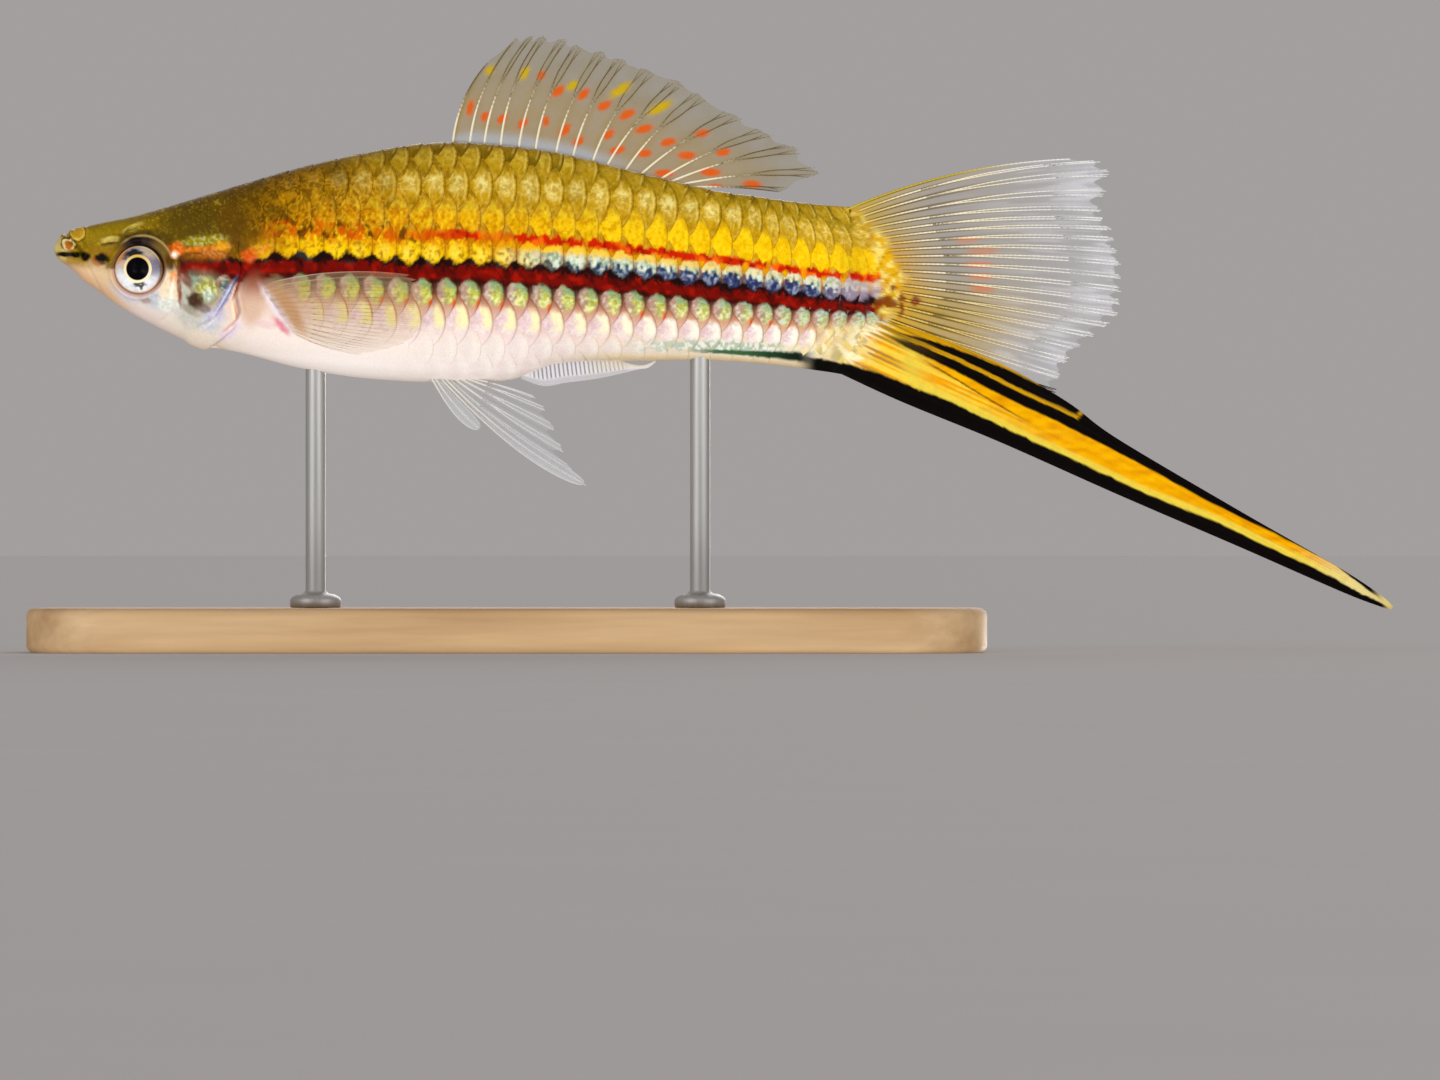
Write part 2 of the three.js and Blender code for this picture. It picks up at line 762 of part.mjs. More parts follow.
stand.add(rodMesh("stand_rod_front", ROD_X[0]));
stand.add(rodMesh("stand_rod_rear", ROD_X[1]));

const swordtail = new THREE.Group();
swordtail.add(fish, stand);

export default swordtail;
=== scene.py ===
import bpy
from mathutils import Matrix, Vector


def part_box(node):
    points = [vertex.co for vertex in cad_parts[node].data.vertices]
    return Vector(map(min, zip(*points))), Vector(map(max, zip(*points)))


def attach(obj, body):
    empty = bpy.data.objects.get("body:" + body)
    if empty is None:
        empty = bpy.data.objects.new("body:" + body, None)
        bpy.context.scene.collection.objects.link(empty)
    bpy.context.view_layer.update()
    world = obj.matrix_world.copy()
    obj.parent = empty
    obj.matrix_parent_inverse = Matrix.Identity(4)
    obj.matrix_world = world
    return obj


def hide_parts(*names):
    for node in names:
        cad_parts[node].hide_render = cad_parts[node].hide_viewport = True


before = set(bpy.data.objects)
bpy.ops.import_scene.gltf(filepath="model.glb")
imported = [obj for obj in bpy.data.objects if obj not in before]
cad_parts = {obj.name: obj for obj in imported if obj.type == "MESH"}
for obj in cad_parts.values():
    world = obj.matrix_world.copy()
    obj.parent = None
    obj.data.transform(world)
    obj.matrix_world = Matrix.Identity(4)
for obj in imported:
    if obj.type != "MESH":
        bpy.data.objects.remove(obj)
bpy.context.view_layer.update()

# Looks of a male green swordtail on a display stand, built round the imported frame.
# Shapes are worked out in the fish's own frame, in mm: x runs back from the tip of the snout,
# y to the fish's right, and z up from the level of the snout. place() puts them in the row's frame.
import math

import bmesh
import bpy
import numpy as np
from mathutils import Vector

# Places taken from the frame
MM = 0.001
SNOUT_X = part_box("lower_jaw")[0].x / MM
SNOUT_TO_FLOOR = 36.2
BASE_LOW, BASE_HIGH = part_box("stand_base")

# Driving sizes of the body, as in the solids
BODY_LENGTH = 75.2
NOSE_RADIUS = 1.3
TAIL_ARC_X = 63.1
TAIL_ARC_Z = -3.4
TAIL_ARC_RADIUS = 11.1
EYE_X = 7.75
EYE_Z = -1.75
EYE_RADIUS = 2.28
EYE_BULGE = 1.5
EYE_TURN = math.radians(7)

BACK = [(0, 1.15), (0.8, 1.25), (1.4, 1.5), (2.3, 1.95), (4.2, 2.42), (7.8, 3.2), (13.9, 5.0),
        (22, 7.45), (31, 9.35), (36, 9.72), (44.6, 8.9), (53.6, 6.75), (60, 5.3), (67, 4.5),
        (75.2, 3.9)]
BELLY = [(0, -1.05), (1.1, -1.4), (1.9, -2.0), (2.6, -2.75), (3.7, -3.5), (5.6, -4.9), (8.6, -6.6),
         (13.1, -8.7), (14.6, -8.85), (17, -9.3), (22, -10.6), (28, -11.55), (36, -11.95),
         (41, -11.7), (43, -11.0), (45, -10.3), (48, -10.02), (53.6, -10.02), (59, -10.0),
         (67, -10.5), (75.2, -11.2)]
WIDEST = [(0, 0), (4.4, -0.9), (12, -1.62), (24, -1.6), (35.6, -2.0), (53.9, -3.15), (67, -3.7),
          (75.2, -3.9)]
HALF_WIDTH = [(0, 1.75), (2.2, 2.2), (4.4, 2.9), (7.8, 3.95), (11, 4.55), (17, 5.15), (25, 5.5),
              (33, 5.35), (42, 4.6), (52, 3.55), (62, 2.65), (69, 2.05), (72.5, 1.6), (75.2, 0.8)]
UPPER_SQUARENESS = [(0, 2.6), (7.8, 3.1), (14, 2.4), (26, 2.05), (60, 2.1), (75.2, 2.5)]
LOWER_SQUARENESS = [(0, 2.4), (8, 1.95), (16, 1.9), (32, 2.15), (48, 1.9), (75.2, 2.3)]

# Lines of the side view
MOUTH = [(0.7, 2.9), (1.1, 1.5), (1.5, 0.75), (2.15, 0.3), (2.55, -0.3)]
JAW_CREASE = [(2.55, -0.3), (3.0, -1.4), (3.7, -2.7), (4.4, -4.1)]
GILL_OPENING = [(16.2, 1.2), (16.75, -0.4), (17.0, -1.4), (16.85, -2.8), (16.5, -4.1), (16.8, -5.6),
                (16.3, -7.1), (15.0, -8.2), (13.2, -9.2)]
PREOPERCLE = [(11.2, -0.9), (11.4, -3.2), (11.1, -5.4), (9.8, -6.4)]

# The dark band along the flank, which the rows of scales are counted from
BAND = [(11.75, -1.53), (16.3, -1.7), (20.3, -1.48), (27.5, -1.58), (31.3, -1.93), (36.9, -2.03),
        (41.9, -2.3), (48.1, -2.8), (52.9, -3.24), (58.1, -3.78), (63.2, -4.23), (67.3, -4.68),
        (71.4, -5.0), (75.2, -5.15)]
ROW_ABOVE = [(0, 2.6), (20, 3.0), (48, 3.0), (58, 2.8), (68, 2.55), (75.2, 2.4)]
ROW_BELOW = [(0, 2.4), (20, 2.5), (36, 2.5), (46, 2.42), (58, 2.12), (68, 1.85), (75.2, 1.75)]
FIRST_ROW_ABOVE = 0.63
FIRST_ROW_BELOW = 0.75
SCALE_PITCH = 2.12
# Columns of scales along the first row below the band: their places, and their numbers
COLUMN_X = [0, 11.2, 22.2, 33.1, 43.8, 54.2, 63.9, 73.4, 77.2]
COLUMN_NUMBER = [-10, -5, 0, 5, 10, 15, 20, 25, 27]

NOISE_CELLS = 64
NOISE_LAYERS = 16
NOISE = np.random.default_rng(7).random((NOISE_CELLS, NOISE_CELLS, NOISE_LAYERS))


def rgb(red, green, blue):
    """A colour of the screen, 0 to 255, as linear light."""
    value = np.array([red, green, blue]) / 255
    return np.where(value > 0.04, ((value + 0.055) / 1.055) ** 2.4, value / 12.92)


def smooth(start, end, value):
    """0 before start, 1 after end, and an even S between them; start may be the larger."""
    t = np.clip((value - start) / (end - start), 0, 1)
    return t * t * (3 - 2 * t)


def mix(first, second, share):
    share = np.asarray(share, float)[..., None]
    return first * (1 - share) + second * share


def along(points, x):
    """Smooth value at x of a profile given as (place, value) points."""
    at, value = np.array(points, float).T
    x = np.clip(np.asarray(x, float), at[0], at[-1])
    i = np.clip(np.searchsorted(at, x, side="right") - 1, 0, len(at) - 2)
    before = np.maximum(np.arange(len(at)) - 1, 0)
    after = np.minimum(np.arange(len(at)) + 1, len(at) - 1)
    slope = (value[after] - value[before]) / (at[after] - at[before])
    width = at[i + 1] - at[i]
    t = (x - at[i]) / width
    rise = t * t * (3 - 2 * t)
    bend = t * (1 - t) ** 2 * slope[i] + t * t * (t - 1) * slope[i + 1]
    return value[i] * (1 - rise) + value[i + 1] * rise + bend * width


def noise(a, b, layer=0):
    """Smooth random value from 0 to 1 on a plane of unit cells."""
    i, j = np.floor(a).astype(int), np.floor(b).astype(int)
    u, v = a - i, b - j
    u, v = u * u * (3 - 2 * u), v * v * (3 - 2 * v)
    table = NOISE[:, :, layer % NOISE_LAYERS]
    i, j, after, over = [number % NOISE_CELLS for number in (i, j, i + 1, j + 1)]
    low = table[i, j] * (1 - u) + table[after, j] * u
    high = table[i, over] * (1 - u) + table[after, over] * u
    return low * (1 - v) + high * v


def place(points):
    """Points of the fish's frame in mm, as metres of the row's frame."""
    return (np.asarray(points) + np.array([SNOUT_X, 0, SNOUT_TO_FLOOR])) * MM


def distance_to_line(x, z, line):
    """Distance from points of the side view to a line, negative ahead of it or above it."""
    best = np.full(np.shape(x), 1e9)
    signed = np.zeros(np.shape(x))
    for (x0, z0), (x1, z1) in zip(line, line[1:]):
        dx, dz = x1 - x0, z1 - z0
        t = np.clip(((x - x0) * dx + (z - z0) * dz) / (dx * dx + dz * dz), 0, 1)
        away = np.hypot(x - x0 - t * dx, z - z0 - t * dz)
        side = np.sign(dx * (z - z0) - dz * (x - x0))
        closer = away < best
        signed = np.where(closer, away * side, signed)
        best = np.where(closer, away, best)
    return signed


# Meshes

def add_object(name, data):
    piece = bpy.data.objects.new(name, data)
    bpy.context.scene.collection.objects.link(piece)
    return piece


def mesh_object(name, points, faces, paint, bake_uv=None):
    """A mesh from numpy arrays, in mm, with a colour for each point and a bake map by face corner."""
    faces = np.asarray(faces, np.int32)
    mesh = bpy.data.meshes.new(name)
    mesh.vertices.add(len(points))
    mesh.vertices.foreach_set("co", place(points).astype(np.float32).ravel())
    mesh.loops.add(faces.size)
    mesh.loops.foreach_set("vertex_index", faces.ravel())
    mesh.polygons.add(len(faces))
    mesh.polygons.foreach_set("loop_start", np.arange(0, faces.size, faces.shape[1], dtype=np.int32))
    mesh.polygons.foreach_set("use_smooth", np.ones(len(faces), bool))
    mesh.update()
    mesh.validate()
    layer = mesh.color_attributes.new("paint", "FLOAT_COLOR", "POINT")
    full = np.ones((len(points), 4), np.float32)
    full[:, : paint.shape[1]] = paint
    layer.data.foreach_set("color", full.ravel())
    if bake_uv is not None:
        layer = mesh.uv_layers.new(name="OFBake")
        layer.data.foreach_set("uv", bake_uv.astype(np.float32).ravel())
    return add_object(name, mesh)


def dress(piece, material, slot, *nodes):
    piece.data.materials.append(material)
    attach(piece, "root")
    if nodes:
        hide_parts(*nodes)


def grid_faces(columns, rows):
    """Quads of a grid of points numbered column by column."""
    c, r = np.meshgrid(np.arange(columns - 1), np.arange(rows - 1), indexing="ij")
    a = (c * rows + r).ravel()
    return np.stack([a, a + 1, a + rows + 1, a + rows], axis=1)


def grid_rim(columns, rows):
    """Numbers of the points round the edge of such a grid."""
    number = np.arange(columns * rows).reshape(columns, rows)
    return np.concatenate([number[:, 0], number[-1, 1:], number[-2::-1, -1], number[0, -2:0:-1]])


def halves(quads):
    """Both triangles of each quad, given its corners or their places on a map."""
    return np.concatenate([quads[:, [0, 1, 2]], quads[:, [0, 2, 3]]])


def slab(x, z, near, far, paint):
    """A closed plate over a grid of the side view, from one sideways place to another, painted alike."""
    columns, rows = x.shape
    count = columns * rows
    rim = grid_rim(columns, rows)
    after = np.roll(rim, -1)
    wall = np.stack([rim, after, after + count, rim + count], axis=1)
    face = grid_faces(columns, rows)
    points = np.concatenate([np.stack([x, y, z], axis=-1).reshape(-1, 3) for y in (near, far)])
    faces = np.concatenate([face, face[:, ::-1] + count, wall[:, ::-1]])
    return points, faces, np.concatenate([paint.reshape(-1, 4)] * 2)


def closed_form(rings, ends):
    """Points and triangles of a closed form through rings of points, with a point at each end."""
    levels, sides = rings.shape[:2]
    seam = np.arange(levels - 1) * sides
    wrap = np.stack([seam + sides - 1, seam, seam + sides, seam + 2 * sides - 1], axis=1)
    quads = np.concatenate([grid_faces(levels, sides), wrap])
    k = np.arange(sides)
    after = (k + 1) % sides
    count, last = levels * sides, (levels - 1) * sides
    caps = np.concatenate([np.stack([np.full(sides, count), after, k], axis=1),
                           np.stack([np.full(sides, count + 1), last + k, last + after], axis=1)])
    return np.concatenate([rings.reshape(-1, 3), ends]), np.concatenate([halves(quads), caps])


def grid_normals(grid):
    """Unit normals of a grid of points."""
    across = np.gradient(grid, axis=0)
    down = np.gradient(grid, axis=1)
    normal = np.cross(across, down)
    return normal / np.maximum(np.linalg.norm(normal, axis=-1, keepdims=True), 1e-9)


# The body

def signed_power(value, power):
    return np.sign(value) * np.abs(value) ** power


def body_point(x, turn):
    """Point of the bare body: turn is -90 degrees at the belly, 0 at the right, 90 at the back."""
    ahead = 1 - np.minimum(x / NOSE_RADIUS, 1)
    bloom = np.sqrt(np.maximum(1 - ahead**2, 0))
    middle = along(WIDEST, x)
    rise = np.sin(turn)
    height = np.where(rise > 0, along(BACK, x) - middle, middle - along(BELLY, x))
    power = 2 / np.where(rise > 0, along(UPPER_SQUARENESS, x), along(LOWER_SQUARENESS, x))
    y = along(HALF_WIDTH, x) * bloom * signed_power(np.cos(turn), power)
    z = (middle + height * signed_power(rise, power)) * bloom
    reach = np.sqrt(np.maximum(TAIL_ARC_RADIUS**2 - (z - TAIL_ARC_Z) ** 2, 1))
    behind = np.maximum(x - TAIL_ARC_X, 0) / (BODY_LENGTH - TAIL_ARC_X)
    y = y * (1 - 0.93 * smooth(0.66, 1.0, behind))
    return np.stack([np.minimum(x, TAIL_ARC_X) + behind * reach, y, z], axis=-1)


class Flank:
    """The body's surface by x and by row of scales, counted along the girth from the dark band."""

    def __init__(self):
        self.step_x, self.step_row = 0.2, 0.05
        self.low_row, self.high_row = -5.0, 6.0
        self.x = np.arange(0.02, BODY_LENGTH + 0.01, self.step_x)
        self.rows = np.arange(self.low_row, self.high_row + 0.01, self.step_row)
        turn = np.radians(np.linspace(-150, 150, 601))
        ring = body_point(self.x[:, None], turn[None, :])
        steps = np.linalg.norm(np.diff(ring, axis=1), axis=-1)
        girth = np.concatenate([np.zeros((len(self.x), 1)), np.cumsum(steps, axis=1)], axis=1)
        band = along(BAND, self.x)
        middle = slice(100, 501)
        self.turn_of_row = np.empty((len(self.x), len(self.rows)))
        self.turn, self.row = turn, np.empty_like(girth)
        for i in range(len(self.x)):
            start = np.interp(band[i], ring[i, middle, 2], girth[i, middle])
            away = girth[i] - start
            pitch = np.where(away > 0, along(ROW_ABOVE, self.x[i]), along(ROW_BELOW, self.x[i]))
            self.row[i] = away / pitch
            self.turn_of_row[i] = np.interp(self.rows, self.row[i], turn)
        self.points = body_point(self.x[:, None], self.turn_of_row)
        self.normals = -grid_normals(self.points)

    def _sample(self, table, x, row):
        a = np.clip((x - self.x[0]) / self.step_x, 0, len(self.x) - 1.001)
        b = np.clip((row - self.low_row) / self.step_row, 0, len(self.rows) - 1.001)
        i, j = a.astype(int), b.astype(int)
        u, v = (a - i)[..., None], (b - j)[..., None]
        low = table[i, j] * (1 - u) + table[i + 1, j] * u
        high = table[i, j + 1] * (1 - u) + table[i + 1, j + 1] * u
        return low * (1 - v) + high * v

    def at(self, x, row):
        """Points and outward normals on the fish's right side."""
        normal = self._sample(self.normals, x, row)
        normal /= np.linalg.norm(normal, axis=-1, keepdims=True)
        return self._sample(self.points, x, row), normal

    def row_at(self, x, turn):
        """Row of each point of a ring, given its turn folded to one side."""
        station = np.clip((x - self.x[0]) / self.step_x, 0, len(self.x) - 1.001)
        i = int(station)
        share = station - i
        row = self.row[i] * (1 - share) + self.row[i + 1] * share
        return np.interp(turn, self.turn, row)


def row_middle(number):
    """Height of the middle of a row of scales, in rows from the band."""
    return np.where(number >= 0, number + FIRST_ROW_ABOVE, number + 1 - FIRST_ROW_BELOW)


def cell_of(x, row):
    """Number of the row of scales, and the place in its nearest scale: mm back, and rows up."""
    above = np.floor(row - FIRST_ROW_ABOVE + 0.5)
    below = np.ceil(row + FIRST_ROW_BELOW - 0.5)
    number = np.where(row > 0, np.maximum(above, 0), np.minimum(below, 0) - 1).astype(int)
    column = np.interp(x, COLUMN_X, COLUMN_NUMBER) + np.where(number % 2 == 0, 0.5, 0)
    back = (column - np.round(column)) * SCALE_PITCH
    return number, back, row - row_middle(number)


# Markings of the body, by x and row, shared by the skin and the scales

BLACK = rgb(14, 9, 8)
DARK_RED = rgb(118, 10, 2)
BRIGHT_RED = rgb(158, 18, 2)
RED_LINE = rgb(206, 34, 0)
ORANGE = rgb(226, 88, 16)
# Colour between the bright middles of the scales: at some x, rows from belly to back, each with
# the red, green and blue of the screen
GROUND = {
    6: [(-4, 246, 236, 230), (-1.4, 232, 210, 192), (-0.4, 196, 168, 130), (0.3, 130, 102, 10),
        (1.0, 122, 94, 6), (4, 126, 102, 8)],
    17: [(-4, 255, 247, 243), (-2.2, 250, 236, 226), (-1, 228, 196, 176), (-0.4, 120, 60, 40),
         (0.35, 196, 100, 2), (0.7, 142, 84, 2), (1.1, 98, 60, 0), (2, 88, 56, 0), (3, 88, 58, 2),
         (4, 80, 62, 4)],
    26: [(-4, 255, 251, 249), (-2.2, 254, 240, 230), (-1.3, 216, 176, 144), (-0.8, 110, 66, 40),
         (-0.35, 48, 24, 16), (0.35, 184, 106, 0), (0.8, 184, 100, 0), (1.15, 134, 78, 0),
         (1.8, 138, 92, 0), (2.4, 132, 90, 0), (3.2, 122, 88, 2), (4.0, 106, 82, 4)],
    42: [(-4.2, 240, 232, 226), (-2.7, 248, 232, 228), (-1.9, 236, 202, 194), (-1.2, 206, 150, 126),
         (-0.8, 126, 80, 56), (-0.36, 40, 18, 14), (0.36, 92, 74, 30), (0.85, 208, 134, 0),
         (1.3, 180, 122, 0), (2.1, 174, 128, 4), (3.0, 168, 130, 12), (3.9, 150, 116, 12),
         (4.6, 120, 94, 8)],
    68: [(-3.6, 234, 224, 184), (-2.4, 244, 234, 192), (-1.7, 230, 200, 164), (-1.2, 210, 156, 120),
         (-0.8, 166, 108, 84), (-0.36, 64, 26, 18), (0.36, 84, 52, 54), (0.85, 226, 158, 2),
         (1.3, 226, 170, 0), (2.0, 204, 154, 6), (2.9, 170, 136, 16), (3.5, 120, 100, 12)],
}
# Height of one row of scales, in mm, for marks that are as long as they are high
ROW_MM = 2.3


def shaded(colour, amount):
    """A colour made darker or lighter, place by place."""
    return colour * np.asarray(amount, float)[..., None]


def ground_colour(x, row):
    """Colour of the body between the bright middles of its scales."""
    stations = sorted(GROUND)
    colour = np.zeros(np.shape(x) + (3,))
    for station, share in zip(stations, np.eye(len(stations))):
        rows, *screen = np.array(GROUND[station], float).T
        tint = np.stack([np.interp(row, rows, channel) for channel in rgb(*screen)], axis=-1)
        colour += tint * np.interp(x, stations, share)[..., None]
    return colour


def spot(x, z, centre, radii, tilt=0.0, soft=0.5):
    """Share of a soft oval of the side view, 1 in its middle."""
    a = math.radians(tilt)
    dx, dz = x - centre[0], z - centre[1]
    u = (dx * math.cos(a) + dz * math.sin(a)) / radii[0]
    v = (dz * math.cos(a) - dx * math.sin(a)) / radii[1]
    return smooth(1 + soft / 2, 1 - soft / 2, np.hypot(u, v))


def with_spots(colour, x, z, spots):
    """A colour with soft ovals over it: centre, radii, tilt, softness, tint and strength of each."""
    for centre, radii, tilt, soft, tint, strength in spots:
        colour = mix(colour, rgb(*tint), spot(x, z, centre, radii, tilt, soft) * strength)
    return colour


def on_line(line, x):
    """Height at x of a line of straight parts in the side view."""
    return np.interp(x, *np.array(line).T)


def curls(x, high, size, layer):
    """Share of fine winding lines, a few of them in each cell of the given size in mm."""
    wind = 1.6 * noise(0.7 * x / size, 0.7 * high / size, layer + 1)
    return smooth(0.14, 0.03, np.abs(noise(x / size + wind, high / size - wind, layer) - 0.5))


def rear_edge(up):
    """Rear edge of a scale, in mm from its middle, at a height in rows."""
    return 1.05 - 1.25 * np.abs(up) ** 2.2


def front_edge(up):
    return -2.1 + 1.5 * np.abs(up) ** 3


def scale_blobs(colour, x, row, number, back, up, tone):
    """The bright middle of each scale, row by row, from the back to the belly."""
    high = row * ROW_MM
    coarse = noise(x * 2.2, high * 2.2, 3) - 0.5
    grain = noise(x * 3.8, high * 3.8, 6)
    fine = noise(x * 8, high * 8, 7)
    uneven, sandy = grain - 0.5, fine - 0.5
    ragged = 0.3 * coarse + 0.22 * uneven
    gleam = smooth(0.42, 0.8, 0.6 * grain + 0.4 * fine)
    shade = smooth(0.54, 0.2, 0.6 * grain + 0.4 * fine)
    thread = curls(x, high, 0.42, 8)

    def oval(middle, length, height, soft=0.3, square=2.2):
        along_x = np.abs((back - middle[0]) / length) ** square
        away = (along_x + np.abs((up - middle[1]) / height) ** square) ** (1 / square)
        return smooth(1 + soft, 1 - soft, away + ragged)

    rear = smooth(20, 36, x)
    tail = smooth(56, 70, x)
    # Upper rows: mottled olive gold, palest in the third row up, and plainer towards the tail
    upper = smooth(1.0, 1.35, row) * smooth(20, 38, x + 5 * coarse)
    colour = mix(colour, colour * 0.66, shade * upper * 0.6)
    curled = upper * (0.3 * thread + 0.25 * gleam)
    colour = mix(colour, rgb(236, 200, 70), curled * smooth(4.4, 2.6, row))
    for which, blob, pale, reach in ((4, rgb(170, 134, 12), rgb(196, 166, 44), 0.4),
                                     (3, rgb(192, 152, 18), rgb(224, 200, 84), 0.6),
                                     (2, rgb(204, 160, 10), rgb(242, 228, 138), 1.0)):
        core = oval((0.12, 0.06), 0.56, 0.24, 0.8) * reach * (1 - 0.6 * tail)
        inner = mix(blob, pale, np.clip(core * (0.35 + 0.8 * gleam) + 0.4 * thread * reach, 0, 1))
        inner = mix(inner, blob * 0.6, shade * 0.6)
        strength = oval((0.0, 0.0), 0.96, 0.48, 0.5) * (0.4 + 0.5 * rear)
        inner = shaded(inner, 0.9 + 0.2 * tone)
        colour = mix(colour, inner, strength * (number == which) * smooth(17, 36, x + 6 * coarse))
    # Each scale's rear edge, as a brown line with a bright one just inside it
    rim_here = upper * (number >= 1) * smooth(0.5, 0.3, np.abs(up))
    from_edge = rear_edge(up) - back + 0.1 * sandy
    colour = mix(colour, rgb(120, 80, 0), rim_here * smooth(0.14, 0.03, np.abs(from_edge)) * 0.5)
    inside = smooth(0.12, 0.03, np.abs(from_edge - 0.26))
    colour = mix(colour, rgb(252, 226, 110), rim_here * inside * 0.45)
    # The bright yellow row, olive at its upper edge in front
    blob = mix(rgb(222, 142, 0), rgb(246, 196, 0), smooth(24, 56, x))
    olive = smooth(0.0, 0.42, up + 0.2 * uneven) * smooth(60, 40, x)
    blob = mix(blob, rgb(198, 166, 44), olive * 0.75)
    blob = mix(blob, rgb(255, 224, 30), np.clip(gleam * 0.45 + thread * 0.25, 0, 1))
    blob = mix(blob, rgb(172, 104, 2), shade * np.interp(x, [20, 50, 62], [0.75, 0.5, 0.2]))
    strength = smooth(18, 34, x + 6 * coarse) * np.interp(x, [20, 34, 60], [0.75, 0.92, 1])
    fullness = np.interp(x, [40, 54], [1.02, 1.16])
    colour = mix(colour, shaded(blob, 0.94 + 0.12 * tone),
                 oval((0.0, 0.0), fullness, 0.52 * fullness, 0.3, 2.8) * strength * (number == 1))
    # The row above the dark band: gold in front; yellow, then white, then blue behind
    fore = mix(rgb(226, 140, 0), rgb(246, 196, 0), smooth(0.3, -0.1, up + 0.3 * uneven))
    core = smooth(1.0, 0.3, np.hypot((back + 0.1) / 0.8, (up + 0.1) / 0.34) + ragged) * smooth(22, 33, x)
    fore = mix(fore, rgb(255, 232, 84), core * (0.4 + 0.6 * gleam))
    fore = mix(fore, rgb(255, 244, 150), core * smooth(39, 45, x) * 0.4)
    orange = smooth(0.05, 0.4, up + 0.7 * uneven) * smooth(34, 24, x)
    fore = mix(fore, rgb(214, 92, 0), orange * 0.7)
    fore = mix(fore, rgb(255, 222, 24), np.clip(thread * 0.6 + gleam * 0.3, 0, 1) * smooth(44, 36, x))
    fore = mix(fore, rgb(140, 76, 0), shade * 0.7)
    foot = mix(rgb(60, 88, 100), rgb(48, 62, 106), smooth(46, 60, x))
    foot = mix(foot, rgb(34, 28, 66), shade * 0.6)
    foot = mix(foot, rgb(186, 200, 220), gleam * 0.5)
    level = np.interp(x, [42, 56, 66, 72], [-0.3, -0.05, 0.03, -0.06])
    middle = mix(rgb(180, 202, 176), rgb(240, 244, 222), gleam * 0.85)
    middle = mix(middle, rgb(110, 136, 124), shade * 0.7)
    aft = mix(foot, middle, smooth(level - 0.06, level + 0.08, up + 0.34 * uneven + 0.08 * back))
    aft = mix(aft, rgb(252, 204, 14), smooth(0.0, 0.2, up + 0.2 * sandy) *
              np.interp(x, [42, 56, 64, 70], [1, 0.8, 0.35, 0.15]))
    aft = mix(aft, rgb(196, 172, 190), smooth(69, 73, x) * 0.6)
    blob = mix(fore, aft, smooth(40, 46, x + 3 * (tone - 0.5)))
    fullness = np.interp(x, [30, 42], [1.12, 1.0])
    colour = mix(colour, blob, oval((0.0, 0.02), fullness, 0.46, 0.3, 2.6) * (number == 0) *
                 smooth(14, 24, x + 6 * coarse) * smooth(75.0, 73.9, x))
    # The first row below the band: pinkish grey in front of each scale, green and teal behind
    pale = np.clip(gleam + smooth(0.0, -0.4, up) * 0.5, 0, 1)
    green = mix(rgb(190, 196, 84), rgb(240, 240, 164), pale)
    green = mix(green, rgb(214, 216, 30), smooth(42, 30, x) * 0.5)
    teal = smooth(0.06, 0.34, up + 0.4 * uneven + 0.08 * back)
    green = mix(green, rgb(120, 160, 124), 0.8 * teal)
    green = mix(green, rgb(200, 216, 206), smooth(54, 70, x) * (0.3 + 0.6 * gleam))
    green = mix(green, rgb(104, 100, 50), shade * 0.4)
    grey = mix(rgb(196, 160, 142), rgb(222, 212, 204), gleam * 0.8)
    grey = mix(grey, rgb(128, 104, 84), shade * 0.4)
    blob = mix(grey, green, smooth(-0.45, 0.15, back + 0.7 * uneven + 0.3 * sandy))
    strength = oval((0.1, 0.0), 0.84, 0.47, 0.2, 2.4) * (number == -1) * smooth(18.5, 24, x)
    colour = mix(colour, blob, strength * np.interp(x, [20, 30], [0.8, 0.97]))
    # The second row below: lilac pink, with a cream crescent behind and a tan rim over it
    edge = rear_edge(up) - back
    cream = mix(rgb(255, 250, 190), rgb(255, 255, 250), smooth(40, 60, x) * 0.8)
    cream = mix(cream, rgb(238, 224, 84), smooth(38, 28, x) * 0.8 * (0.4 + 0.6 * grain))
    blob = mix(rgb(232, 202, 206), rgb(250, 240, 236), smooth(0.0, -0.4, up) * 0.7)
    blob = mix(blob, rgb(255, 252, 248), gleam * 0.45)
    blob = mix(blob, rgb(212, 178, 186), shade * 0.6)
    blob = mix(blob, cream, smooth(1.3, 0.55, edge + 0.9 * uneven) * smooth(-0.5, -0.1, up))
    colour = mix(colour, blob, oval((0.05, 0.0), 1.0, 0.5, 0.3, 2.4) * (number == -2) *
                 smooth(20, 28, x) * 0.9)
    rim = smooth(0.2, 0.05, edge) * smooth(-0.2, 0.15, up) * (number == -2) * smooth(22, 27, x)
    colour = mix(colour, rgb(206, 104, 34), rim * np.interp(x, [24, 34, 44, 60], [0.85, 0.5, 0.2, 0.1]))
    # The belly rows fade into smooth white and lilac, with a little mint along the tail
    blob = mix(rgb(236, 222, 222), rgb(248, 242, 236), smooth(1.1, 0.4, edge) + 0.6 * gleam)
    blob = mix(blob, rgb(226, 232, 190), gleam * smooth(24, 30, x) * smooth(44, 36, x) * (number == -3))
    blob = mix(blob, rgb(168, 206, 192), smooth(0.45, 0.75, grain) * smooth(48, 56, x) * 0.7)
    return mix(colour, blob, oval((0.05, 0), 0.95, 0.5) * 0.65 * (number <= -3) * smooth(28, 40, x))


